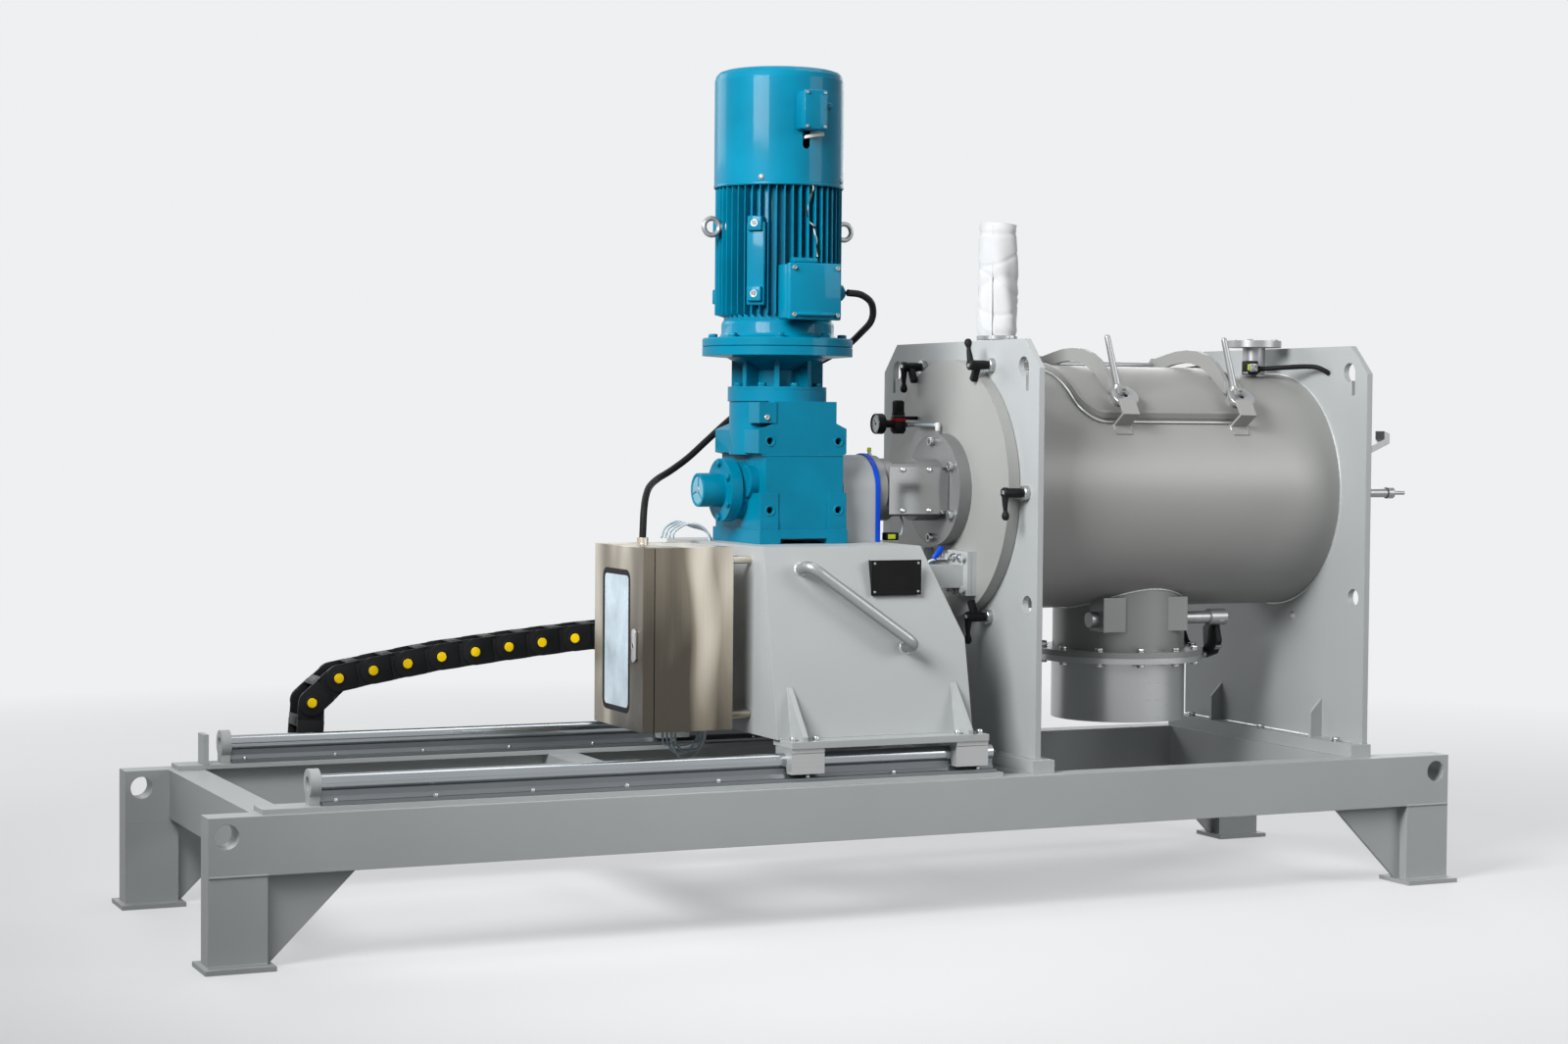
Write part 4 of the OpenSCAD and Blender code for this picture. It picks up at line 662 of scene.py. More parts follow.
def chain_side():
    """One side plate, its outer face at Y = 0 and its inner one at +Y."""
    half, inset = HIGH / 2, HIGH / 2 - 0.6
    bow = [(sin(t), cos(t)) for t in (pi * k / 14 for k in range(15))]
    outer = [(-half * s, half * c) for s, c in bow] + [(PITCH * 0.5, -half), (PITCH * 0.5, half)]
    inner = [(PITCH + inset * s, -inset * c) for s, c in bow]
    inner = [(PITCH * 0.42, -half), *inner, (PITCH * 0.42, half)]
    lap = [(PITCH * x, half * y) for x, y in ((0.40, -1), (0.52, -1), (0.52, 1), (0.40, 1))]
    boss = [(17, 0), (17, 0.9), (15.5, 1.6), (13.2, 1.6), (13, 0.3)]
    return [(plate(outer, 4.5, 1.1, 2, 40), at(0, 4.5, 0) @ spin(90, "X")),
            (plate(inner, 4.3, 0.9, 2, 40), at(0, 9.0, 0) @ spin(90, "X")),
            (plate(lap, 6, 0.8), at(0, 7.5, 0) @ spin(90, "X")),
            (turned([(0, 0), *boss, (0, 0.3)], 28), facing((0, 0.1, 0), FRONT))]

def mirrored(shape, matrix):
    for v in shape.verts:
        v.co = matrix @ v.co
        v.co.y = -v.co.y
    return outward(shape)

def chain_link():
    link = Body()
    for shape, matrix in chain_side():
        link.add(shape, at(0, -WIDE / 2, 0) @ matrix)
    for shape, matrix in chain_side():
        link.add(mirrored(shape, matrix), at(0, WIDE / 2, 0))
    for side in (-1, 1):
        z = side * (HIGH / 2 - 2.6)
        link.add(block((27, WIDE - 5, 5), 1.2, 2, (PITCH / 2, 0, z)))
        link.add(block((19, WIDE - 30, 2.4), 0.9, 2, (PITCH / 2, 0, z + side * 2.4)))
    return link.bm

def along(pin, turn):
    return at(pin.x, MID_Y, pin.y) @ spin(-turn, "Y")

def step(turn):
    return PITCH * Vector(polar(1, turn))

start = Vector((-1005.0, 496.0))
upper, spot = [], start
for turn in (10.7, 9.5, 9.4, 6.5, 6.5, 6, 5.5, 5):
    upper.append(along(spot, turn))
    spot = spot + step(turn)
bend, spot = [], start
for turn in (41, 86.5, 135):
    spot = spot - step(turn)
    bend.append(along(spot, turn))
lower = [along(spot + Vector((PITCH * k, 0)), 0) for k in range(8)]

def chain_run(name, places, body, replaces):
    run = Body(chain_black, cap_yellow).mark(chain_link(), places)
    cap = solid([(11.6, -0.2), (11.6, 1.0), (10.6, 2.0), (4.5, 2.4)], 28)
    ends = [facing((0, side * (WIDE / 2 + 0.2), 0), (0, side, 0)) for side in (-1, 1)]
    run.mark(cap, [m @ end for end in ends for m in places], 1)
    return run.done(name, body, "black_plastic", replaces)

upper_run = chain_run("energy_chain_upper", upper, "carriage", ["chain_upper"])
chain_run("energy_chain_bend", bend, "chain_bend", ["chain_bend"])
lower_run = chain_run("energy_chain_lower", lower, None, ["chain_lower"])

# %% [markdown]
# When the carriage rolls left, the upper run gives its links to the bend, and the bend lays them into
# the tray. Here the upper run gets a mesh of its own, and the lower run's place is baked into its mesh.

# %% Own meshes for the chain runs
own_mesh(upper_run)
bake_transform(lower_run)

# %% [markdown]
# The hatch is held by two eccentric clamps. Each disc turns on a stud of the lid's arm and bites under a
# bent hook of the seat; the lever that turns it is a tapered bar with a round end, and a flanged nut
# holds it. They are turned shapes on the CAD's own axis, 45 degrees down the front of the drum.

# %% Hatch clamps
DRUM_R, FOOT_TOP, HATCH_ARMS = 289.0, 339, (700, 1029)
VENT_X, NOZZLE_X, NECK_X = 495, 1219, 846

def on_drum(angle, x, r):
    y, z = polar(r, angle)[::-1]
    return at(x, -y, AXIS + z) @ spin(angle, "X")

for index, x in enumerate(HATCH_ARMS, 1):
    spot = on_drum(45, x, 322)
    clamp = Body(steel_grey, ground_steel)
    disc = [(6.3, 0.4), (33.5, 0.4), (35, 1.8), (35, 9.2), (33.6, 10.8), (11, 10.8), (11, 10.2), (6.3, 10.2)]
    clamp.add(turned(disc, 48), spot @ at(9.5, -9.5, 0))
    clamp.add(solid([(11.5, 1), (11.5, 13.5), (10, 15)], 28), spot @ at(0, 17, 0))
    lever = [(0, 0), (9, 0), (8.9, 6), (8.2, 40), (7.2, 100), (7.0, 122)]
    lever += [(7.0 * cos(a), 122 + 7 * sin(a)) for a in (0.3, 0.6, 0.9, 1.2)] + [(0, 129)]
    lean = spot @ at(0, 17, 9) @ (spin(-52, "X") @ spin(-10, "Y"))
    clamp.add(turned(lever, 24), lean)
    clamp.add(solid([(10.6, -3), (10.6, 5), (9.4, 8)], 28), lean)
    clamp.done(f"hatch_clamp_set_{index}", f"hatch_clamp_{index}", "bright_steel", [f"hatch_clamp_{index}"])

# %% [markdown]
# Welds give a machine like this its scale. A bead is a half-round seam whose surface carries the small
# ripples of the torch, so it is a thin tube with a wavy radius, laid where two plates really meet.

# %% Weld beads
def bead(points, r, gap):
    path = []
    points = [Vector(p) for p in points]
    for a, b in zip(points, points[1:]):
        n = max(2, int((b - a).length / gap))
        path += [a.lerp(b, k / n) for k in range(n)]
    path.append(points[-1])
    return tube(path, [r * (1 + 0.16 * sin(k * 1.9) + 0.07 * sin(k * 0.37 + r)) for k in range(len(path))], 8)

def circle(centre, r, axis, steps):
    turn = facing(centre, axis)
    return [turn @ Vector((*polar(r, 360 * k / steps), 0)) for k in range(steps + 1)]

def drum_crossing(cx, cy, r):
    """Where a round tube stands on the drum."""
    ring = [(cx + r * cos(a), cy + r * sin(a)) for a in evenly(72) + [2 * pi]]
    return [(x, y, AXIS + sqrt(DRUM_R ** 2 - y * y)) for x, y in ring]

welds = Body(weld_and_highlight_steel)
for x in (404, 1298):
    welds.add(bead(circle((x, 0, AXIS), 290, RIGHT, 120), 2.6, 4))
welds.add(bead(drum_crossing(VENT_X, 0, 46), 2.2, 3))
welds.add(bead(drum_crossing(NOZZLE_X, -25, 29), 2.0, 3))
welds.add(bead([(x, y, 2 * AXIS - z) for x, y, z in drum_crossing(NECK_X, 0, 163)], 2.6, 4))
for x in HATCH_ARMS:
    for side in (-23, 23):
        hook = on_drum(57, x + side, DRUM_R)
        welds.add(bead([hook @ Vector((0, d, 0)) for d in (-12, 4)], 2.0, 2.4))
for x in (644, 656, 1044, 1056):
    welds.add(bead([(x, 128, 1207), (x, 166, 1185)], 2.0, 2.4))
for x in (388, 405, 1297, 1314):
    for y0, y1 in ((-390, -226), (-214, 214), (226, 390)):
        welds.add(bead([(x, y0, FOOT_TOP), (x, y1, FOOT_TOP)], 2.6, 3))
welds.done("drum_welds", "base", "drum_steel")

frame_welds = Body(frame_grey)
for sx in (-1, 1):
    for sy in (-1, 1):
        leg = sy * 438
        for x0, x1, y, z, r in ((1400, 1519, leg, 190, 2.4), (1208, 1399, sy * 405 - 6, 189, 2.2),
                                (1400, 1520, leg, 11, 2.4)):
            frame_welds.add(bead([(sx * x0, y, z), (sx * x1, y, z)], r, 3))
for x in (-1384, -485, 404, 1281.5):
    for side in (-38, 38):
        for y in (-371.5, 371.5):
            frame_welds.add(bead([(x + side, y, 203), (x + side, y, 308)], 2.2, 3))
frame_welds.done("frame_welds", "base", "frame_paint")

carriage_welds = Body(frame_grey)
for x0, x1 in ((-213, -201), (196, 208)):
    for sy in (-1, 1):
        for x in (x0 - 0.5, x1 + 0.5):
            carriage_welds.add(bead([(x, sy * 366, 409), (x, sy * 420, 409)], 1.8, 3))
            carriage_welds.add(bead([(x, sy * 365.4, 411), (x, sy * (365 - 112 * 0.2029), 519)], 1.8, 3))
for y in (-366, 366):
    carriage_welds.add(bead([(-240, y, 409), (239, y, 409)], 2.0, 3))
carriage_welds.done("carriage_welds", "carriage", "frame_paint")

# %% [markdown]
# The screws of the machine: hexagon heads in the end plates' feet and round the outlet flange, cap screws
# in the rails, the bearing blocks and the bearing flange. Geometry Nodes put each kind at its marks.

# %% Screws on the base
screws = Body(bright_steel)
rail_marks = [facing((-1252 + 212 * k, s * (382 + d), 327), UP, 31 * k) for k in range(8)
              for s in (-1, 1) for d in (-22, 22)]
screws.mark(cap_screw(6), rail_marks)
foot_marks = [facing((x, y, FOOT_TOP), UP, 13 * n) for x in (417, 1272) for n, y in enumerate((-320, 0, 320))]
screws.mark(hex_screw(12), foot_marks)
flange_marks = []
for k in range(12):
    x, y = polar(191, 30 * (k + 0.5))
    flange_marks += [facing((NECK_X + x, y, z), (0, 0, d), 30 * k + 9) for z, d in ((558, 1), (530, -1))]
screws.mark(hex_screw(11), flange_marks)
for a in (30, 90, 150, 210, 270, 330):
    z, y = polar(341, a)
    foot = facing((389, -y, AXIS + z), LEFT)
    screws.add(turned([(0, 0), (17, 0), (17, 12.6), (15.6, 14), (6, 14), (6, 14.5), (0, 14.5)], 36), foot)
    screws.add(solid([(5, 0), (5, 47), (4, 48)], 20), foot)
screws.done("base_screws", "base", "bright_steel", ["base_fasteners"])

# %% Screws on the carriage
more = Body(bright_steel)
block_marks = [facing((x, s * y, 408), UP, 20) for x in (-228, -172, 180, 236) for s in (-1, 1) for y in (352, 404)]
more.mark(cap_screw(9), block_marks)
door_marks = []
for k in range(6):
    y, z = polar(115, 60 * k + 30)
    door_marks.append(facing((324.5, y, AXIS + z), LEFT, 60 * k))
more.mark(cap_screw(13), door_marks)
for side in (-1, 1):
    more.mark(acorn_nut(7), [facing((x, side * 82, z), (0, side, 0), 10) for x in (202, 272) for z in (900, 996)])
more.done("carriage_screws", "carriage", "bright_steel", ["carriage_bolts"])

# %% [markdown]
# Six clamps press the round end door on its seal. Each is a black cranked handle on a hub with a finger
# over the door's rim: a hub, a flat tapered arm that bends up, and a drop-shaped knob.

# %% Door clamps
arm = eased([(331, 0, 2), (331, 0, 16), (330.5, 0, 30), (331, 0, 42)], 5)
arm_radii = [9 - 4.2 * k / (len(arm) - 1) for k in range(len(arm))]
drop = [(0, 0), (4.3, 0), (4.6, 4), (6.2, 8), (8.2, 12.5), (9, 17.5), (8.4, 21.5), (6.4, 25), (3.4, 26.8), (0, 27.2)]
for index, (angle, turn) in enumerate(((30, -45), (90, 87), (150, 30), (210, -30), (270, -87), (330, -150)), 1):
    spot = at(0, 0, AXIS) @ spin(angle, "X") @ at(0, 0, 341)
    clamp = Body(black_plastic, bright_steel)
    clamp.add(turned([(5.2, 0), (11, 0), (11, 30), (10, 38.2), (5.2, 38.2)], 32), spot @ facing((336, 0, 0), RIGHT))
    clamp.add(block((15.5, 15, 42), 2.5, 3, (349.2, 0, -21.5)), spot)
    crank = spot @ spin(turn, "X")
    hub = crank @ facing((325, 0, 0), RIGHT)
    clamp.add(solid([(11, 0), (12.8, 2), (12.8, 11), (11.4, 12)], 32), hub)
    clamp.add(solid([(6, -1.2), (6.6, -0.4), (6.6, 0.3)], 6), hub, 1)
    clamp.add(tube(arm, arm_radii, 16), crank)
    clamp.add(turned(drop, 28), crank @ at(331, 0, 36))
    clamp.done(f"door_clamp_set_{index}", f"door_clamp_{index}", "black_plastic", [f"door_clamp_{index}"])

# %% [markdown]
# The air regulator keeps pressure on the shaft seal: a black body with a ribbed knob, a gauge with a
# bright rim and a plain dial, a red ring under the knob, a white elbow and a clear tube into the door.

# %% Air regulator
WHITE, RED, CLEAR, BRIGHT = range(1, 5)
REG_X, REG_Y = 306, 150
reg = Body(black_plastic, gauge_white, red_ring, tube_clear, ground_steel)
spot = at(REG_X, REG_Y, 1102)
reg.add(solid([(13, -22), (15, -20), (19, -14), (19, 6), (18, 8), (18, 18), (16.5, 22)], 40), spot)
reg.add(turned([(18.3, 8.6), (18.9, 9), (18.9, 15), (18.3, 15.4)], 40), spot, RED)
reg.add(rod(9.5, 0, 30, 24), facing((296, REG_Y, 1104), LEFT))
face = facing((264, REG_Y, 1104), LEFT)
reg.add(turned([(0, 0), (23, 0), (25, 2), (25, 20), (24, 22), (22.6, 22), (22.2, 18.5), (0, 18.5)], 48), face)
reg.add(rod(22, 18.6, 19, 48), face, WHITE)
reg.add(turned([(22.6, 21.4), (24.4, 21.4), (24, 22), (22.8, 22)], 48), face, BRIGHT)
reg.mark(block((1.0, 4.6, 0.5), 0.1, 1), [face @ spin(-135 + 27 * k, "Z") @ at(0, 17.6, 19) for k in range(11)])
reg.add(block((1.2, 15, 0.6), 0.2, 1, (0, 6, 19.6)), face @ spin(40, "Z"), RED)
reg.add(solid([(2.6, 18.8), (2.2, 20.4)], 16), face)
reg.add(block((41, 12, 9), 1.5, 2, (336.7, REG_Y, 1118.5)))
reg.add(solid([(6, 0), (6, 8), (5, 9), (5, 34)], 20), facing((322, 136, 1102), RIGHT), BRIGHT)
reg.hose([(343, y, 1102) for y in (137, 120, 80, 40, 18)], 3.9, 14, CLEAR)
reg.add(solid([(6, -14), (6, -2), (5.2, 0), (5.2, 4), (4.2, 6)], 24), at(343, 14, 1102), WHITE)
reg.add(solid([(6, 0), (6, 9), (5, 10)], 24), facing((343, 22, 1102), FRONT), WHITE)
reg.done("seal_air_regulator", "carriage", "black_plastic", ["air_regulator"])

knob = Body(black_plastic)
knob.add(solid([(15.6, 0), (16, 1), (16, 7), (14.8, 8.2)], 40), at(REG_X, REG_Y, 1124.4))
ribs = [polar(0.93 * (15.8 if k % 4 < 2 else 14.6), 5 * k) for k in range(72)]
knob.add(plate(ribs, 27, 0.5, 1), at(REG_X, REG_Y, 1132))
knob.add(turned([(0, 0), (12.5, 0), (11, 2.6), (0, 3)], 36), at(REG_X, REG_Y, 1158.8))
knob.done("regulator_turn_knob", "regulator_knob", "black_plastic", ["regulator_knob"])

# %% [markdown]
# The enclosure is folded from brushed stainless sheet that has gone slightly brown. Its door has a window:
# a rounded black rubber frame, pressed over the edge of the opening, round a pale pane. A turn latch with
# a slotted plug sits beside it.

# %% Enclosure window and latch
def rounded(w, h, r, steps=8):
    x, y = w / 2 - r, h / 2 - r
    return [(cx + dx, cy + dy) for cx, cy, first in ((x, y, 0), (-x, y, 90), (-x, -y, 180), (x, -y, 270))
            for dx, dy in (polar(r, first + 90 * k / steps) for k in range(steps + 1))]

def stadium(x0, x1, r, steps=12):
    return [(x + r * cos(t), r * sin(t)) for x, first in ((x0, pi / 2), (x1, -pi / 2))
            for t in (first + pi * k / steps for k in range(steps + 1))]

def frame_ring(w, h, r, section):
    """A moulding with a section of (inwards, outwards-from-face) pairs, run round a rounded opening."""
    bm = bmesh.new()
    rings = [[bm.verts.new((x, y, height)) for x, y in rounded(w - 2 * inset, h - 2 * inset, max(r - inset, 2))]
             for inset, height in section]
    skin(bm, rings + rings[:1])
    return outward(bm)

window = Body(black_rubber, pane_pale)
wall = facing((-521, -90, 615), LEFT)
lip = [(0.3, -0.9), (0.6, -0.25), (2, -0.02), (11, -0.02), (12.6, -0.3), (13, -0.95)]
window.add(frame_ring(170, 320, 24, lip), wall)
window.add(plate(rounded(146, 296, 13), 0.5), wall @ at(0, 0, -0.97), 1)
window.done("enclosure_window", "enclosure_door", "black_rubber")

latch = Body(block_aluminium, black_rubber)
spot = facing((-521.4, -206, 610), LEFT)
latch.add(plate(stadium(-27, 27, 10), 5.6, 1.4, 2, 40), spot @ spin(90, "Z"))
latch.add(turned([(0, 5), (7, 5), (7.4, 5.6), (7.4, 6.4), (6.4, 6.5), (5.6, 5.8), (0, 5.8)], 28), spot)
# The black bar across the plug stands for its slot: painted shade.
latch.add(block((3.2, 10, 1.2), 0.3, 1, (0, 0, 6)), spot, 1)
latch.add(rod(7.9, -14, 0.3, 24), spot)
latch.done("enclosure_turn_latch", "latch", "bright_steel", ["enclosure_latch"])

# %% [markdown]
# The pull bar on the carriage is one round bar, bent at both ends and welded to the leaning side.

# %% Pull bar
LEAN = (365 - 280) / (827 - 408)
def side_at(z):
    return -280 - (827 - z) * LEAN

out = Vector((0, -50, 50 * LEAN))
a, b = (Vector((x, side_at(z) - 1, z)) for x, z in ((-160, 778), (86, 600)))
run = (b - a).normalized()
bar = Body(steel_grey, weld_and_highlight_steel)
bends = [(0, 0), (0.3, 0), (0.55, 0), (0.78, 2), (0.93, 10), (1, 26), (1, 60)]
bar.hose([a + k * out + d * run for k, d in bends] + [b + k * out - d * run for k, d in bends[::-1]], 12.9, 28)
for end in (a, b):
    bar.add(bead(circle(end - out.normalized() * 0.5, 13.5, out, 40), 1.8, 3), wear=1)
bar.done("pull_bar", "carriage", "bright_steel", ["pull_handle"], sharp=60)

# %% [markdown]
# The name plate stays blank: a thin black anodised plate with a bright edge and a screw in each corner,
# on a folded holder.

# %% Blank plate
blank = Body(plate_black, steel_grey)
panel = facing((70, side_at(790) - 24, 757), FRONT)
blank.add(plate(rounded(121, 75, 3), 0.8, 0.2, 1), panel @ at(0, 0, -0.2))
blank.mark(round_screw(3), [panel @ at(x, y, 0.4) for x in (-55, 55) for y in (-32, 32)], 1)
blank.done("blank_plate", "carriage", "plate_black")

# %% [markdown]
# Small things that give the machine its scale, all on the carriage: a blue edge strip round the coupling
# guard, a grease nipple with its cap, a sensor, a ball valve with a blue grip, screws on the door arms,
# and the recess of the gearbox's input cap.

# %% Guard strip, nipple, sensor and valve
def arch(r, foot):
    return [(r, foot)] + [polar(r, a) for a in range(0, 181, 5)] + [(-r, foot)]

edge = plate(arch(86, -120) + arch(82.3, -120)[::-1], 12, 0.8)
strip = Body(strip_blue).add(edge, facing((129.5, 0, AXIS), RIGHT))
strip.done("guard_edge_strip", "carriage", "blue_paint")

BRIGHT, LIME, BLUE, CLEAR = range(1, 5)
fit = Body(black_plastic, bright_steel, cap_lime, strip_blue, tube_clear)
fit.add(solid([(6, 0), (6, 5), (3.4, 6), (3.4, 10)], 20), at(153, 0, 1028.5), BRIGHT)
fit.add(turned([(0, 0), (4.4, 0), (5.2, 1.5), (5.2, 8), (4, 10.5), (0, 11)], 20), at(153, 0, 1037), LIME)
fit.add(block((78, 24, 3), 0.8, 1, (159, -58, 828.6)), None, BRIGHT)
fit.add(block((34, 22, 18), 2, 2, (182, -58, 839.2)))
fit.add(block((20, 1.6, 11), 0.6, 1, (180, -69.4, 839)), None, LIME)
fit.hose([(199, -58, 840), (214, -52, 845), (226, -34, 868), (228, -20, 884)], 2.6, 10, CLEAR)
fit.hose([(150, -60, 836), (138, -66, 838), (126, -70, 834), (122, -72, 828)], 2.2, 10)
valve = [(8.5, 0), (8.5, 8), (6.5, 9), (6.5, 26), (8.5, 27), (8.5, 35)]
fit.add(solid(valve, 6), facing((300, -64, 783), RIGHT), BRIGHT)
fit.add(rod(4.5, 0, 9, 16), at(317, -64, 789), BRIGHT)
fit.add(block((12, 13, 36), 3, 3), at(306, -64, 799) @ spin(38, "Y"), BLUE)
fit.hose([(299, -64, 783), (285, -64, 780), (272, -62, 768), (266, -60, 750)], 3.2, 12, CLEAR)
fit.done("seal_air_fittings", "carriage", "black_plastic")

marks = [facing((333.5, s * y, z), LEFT, 17 * y) for s in (-1, 1) for y in (94, 126) for z in (790, 711)]
Body(bright_steel).mark(hex_screw(10), marks).done("door_arm_screws", "carriage", "bright_steel")

nose = Body(motor_blue, cap_recess, bright_steel)
face = facing((-286, 0, AXIS), LEFT)
nose.add(turned([(31.5, -1), (39.0, -1), (39.0, 1.0), (37.8, 2.2), (33.0, 2.2), (31.5, 1.0)], 56), face)
nose.add(rod(31.6, -1, 0.3, 56), face, 1)
nose.add(solid([(7.5, 0.2), (7.5, 1.4), (6.4, 2)], 28), face, 2)
for k in range(3):
    nose.add(block((24, 2.6, 1.6), 0.5, 1, (19, 0, 0.9)), face @ spin(120 * k + 80, "Z"))
nose.done("input_cap", "carriage", "blue_paint")

# %% [markdown]
# Loose wiring: the fan's two wires run down between the fins to the main terminal box with one tie, a
# spare cable end stands out of the cowl's slot, air tubes arch over behind the enclosure, and the spare
# length of tube hangs below it in a few open loops. They are short, tied down and stay with the carriage.

# %% Wires and air tubes
wires = Body(black_plastic, wire_pale, tube_clear)
middle = eased([(-68, -146, 1648), (-70, -143, 1630), (-80, -142, 1585), (-74, -142, 1562), (-62, -141, 1548),
                (-58, -141, 1520), (-53, -140, 1484)], 8)
for strand in (0, 1):
    twist = [0.55 * n + pi * strand for n in range(len(middle))]
    path = [p + Vector((2.2 * cos(a), 1.4 * sin(a), 0)) for p, a in zip(middle, twist)]
    wires.add(tube(path, 1.7, 8), None, strand)
wires.add(turned([(3.6, -1.6), (5, -1.6), (5, 1.6), (3.6, 1.6)], 16), at(-63, -141.5, 1551))
wires.hose([(-90, -128, 1752), (-88, -146, 1754), (-78, -156, 1756), (-62, -160, 1759), (-50, -161, 1760)],
           4.2, 14, 1)
for k in range(4):
    y = 60 + 9 * k
    wires.hose([(-322 - 6 * k, y + 4, 834), (-318 - 4 * k, y + 2, 850 + 3 * k), (-292 - 3 * k, y, 866 + 2 * k),
                (-262, y + 2, 866 - 2 * k), (-236 + 3 * k, y + 6, 850), (-226 + 5 * k, y + 8, 828)], 2.9, 10, 2)
for k in range(5):
    y, low = -128 + 13 * k, 348 + 7 * (k * 2 % 5)
    left, right = -405 + 5 * (k * 3 % 4), -320 + 4 * (k * 2 % 3)
    mid = (left + right) / 2
    wires.hose([(left + 12, y, 422), (left + 4, y, 402), (left + 8, y + 2, 376), (mid - 14, y + 3, low),
                (mid + 16, y + 4, low + 1), (right - 6, y + 2, 378), (right, y, 402), (right - 4, y, 422)],
               2.8, 10, 2)
wires.done("wires_and_air_tubes", "carriage", "black_plastic")

# %% [markdown]
# The lid and its seat meet in two edges that follow the drum's curve, with round corners: thin rims in a pale steel,
# whose brightness is a painted highlight along each edge.

# %% Edges of the hatch
def hatch_edge(grow, r, thick):
    turn = at(0, 0, AXIS) @ spin(18, "X")
    flat, path = rounded(484 + 2 * grow, 352 + 2 * grow, 60 + grow, 10), []
    for (x0, y0), (x1, y1) in zip(flat, flat[1:] + flat[:1]):
        n = max(1, int(hypot(x1 - x0, y1 - y0) / 12))
        path += [(x0 + (x1 - x0) * k / n, y0 + (y1 - y0) * k / n) for k in range(n)]
    path = [turn @ Vector((840 + x, y, sqrt(r * r - y * y))) for x, y in path + path[:1]]
    # The pale steel of these rims is a painted highlight line.
    return Body(weld_and_highlight_steel).add(tube(path, thick, 10))

hatch_edge(-2.5, 300.6, 2.5).done("hatch_lid_edge", "hatch_lid", "drum_steel")
hatch_edge(3.5, 293.5, 2.6).done("hatch_seat_edge", "base", "drum_steel")

# %% [markdown]
# The hatch switch is a black moulding with a lime lens on a folded bracket under the nozzle's flange, and
# its actuator is a smaller block beside it.

# %% Hatch switch
switch = Body(black_plastic, steel_grey, cap_lime)
for size, edge, segments, centre, wear in (
        ((32, 28, 34), 3, 3, (1170, -81, 1251), 0), ((30, 27, 18), 2, 2, (1194, -56.5, 1248), 0),
        ((22, 4.6, 20), 1.2, 2, (1169, -98, 1251), 1), ((9, 1.4, 15), 0.6, 1, (1158, -95.4, 1252), 2),
        ((14, 20, 5), 1, 1, (1160, -84, 1238), 1)):
    switch.add(block(size, edge, segments, centre), None, wear)
switch.mark(cap_screw(4), [facing((x, -100.2, z), FRONT) for x in (1163, 1175) for z in (1246, 1256)], 1)
switch.done("hatch_switch", "base", "black_plastic", ["safety_switch"])

# %% [markdown]
# Outside the neck, the flap's shaft ends in a hub with a black hooked handle that points back.

# %% Handle of the discharge flap
hooked = [(-14, 4), (14, 4), (29, -16), (37, -66), (58, -80), (104, -86), (140, -66), (164, -28), (178, -24),
          (188, -34), (164, -84), (126, -107), (52, -105), (8, -92), (-9, -60), (3, -20), (-15, -10)]
across = Matrix(((0, 0, 1), (1, 0, 0), (0, 1, 0))).to_4x4()
handle = Body(black_plastic, bright_steel).add(plate(hooked, 16, 3, 2, 25), at(1053, -118, 635) @ across)
for y, z in ((-74, 540), (-22, 538)):
    handle.add(hex_screw(8), facing((1053, y, z), LEFT, 20), 1)
handle.done("flap_handle", "flap", "black_plastic")

# %% [markdown]
# The vent sock is a white felt tube, clamped on the vent neck with a band and folded over at the top. It
# is the one sheet of cloth here: a cylinder of cloth with shallow creases where it was packed, a sewn
# seam down one side and a soft, slightly crushed top.

# %% Filter sock
SOCK_FOOT, SOCK_TALL = 1302.6, 285

def sock():
    steps, rows = 72, 60
    rng = np.random.default_rng(7)
    waves = [(rng.integers(2, 6), rng.uniform(0, 6.28), rng.uniform(0.008, 0.03), rng.uniform(0.6, 1.4))
             for _ in range(9)]
    creases = [(1392, 26, 0.4, 2.4), (1447, -34, 2.1, 2.8), (1506, 22, 1.2, 2.2), (1566, 5, 0.2, 2.6)]
    bm, rings = bmesh.new(), []
    for t in (i / rows for i in range(rows + 1)):
        z, ring = SOCK_FOOT + SOCK_TALL * t, []
        for a in evenly(steps):
            r = 47.6 - 2.4 * exp(-((z - 1318) / 8) ** 2)
            for lobes, phase, rate, depth in waves:
                r += depth * sin(lobes * a + phase + rate * z) * min(1, (z - 1302) / 60)
            r -= 2.6 * max(0, sin(z * 0.045 + 1.3 * sin(a))) ** 6
            for level, lean, turn, depth in creases:
                r -= depth * exp(-((z - level - lean * sin(a + turn)) / 3.5) ** 2)
            r += 0.9 * sin(9 * a + 0.25 * z) * exp(-((z - 1334) / 12) ** 2)
            r *= 1 - 10 * max(0, t - 0.9) ** 2 * (0.3 + 0.2 * sin(3 * a))
            droop = 2.5 * sin(a + 2) if t > 0.97 else 0
            ring.append(bm.verts.new((VENT_X + r * cos(a), r * sin(a), z - droop)))
        rings.append(ring)
    skin(bm, rings)
    top = bm.verts.new((VENT_X + 6, 0, 1579))
    rim = [bm.verts.new((VENT_X + (v.co.x - VENT_X) * 0.55, v.co.y * 0.55, 1580 + 2.2 * sin(4 * k * 0.0873)))
           for k, v in enumerate(rings[-1])]
    skin(bm, [rings[-1], rim])
    for a, b in zip(rim, rim[1:] + rim[:1]):
        bm.faces.new((a, b, top))
    return outward(bm)

def sock_trim():
    seam = [(-34, -33.5, 1304), (-33.5, -33, 1400), (-34, -33.5, 1500), (-33, -33, 1582)]
    body = Body(sleeve_white, steel_grey).add(tube(eased([(VENT_X + x, y, z) for x, y, z in seam], 20), 1.5, 8))
    body.add(turned([(47.2, 1308), (49.2, 1308.6), (49.2, 1317.4), (47.2, 1318)], 64), at(VENT_X, 0, 0), 1)
    return body.add(block((16, 6, 11), 1, 2, (VENT_X + 10, -48.3, 1313)), None, 1)

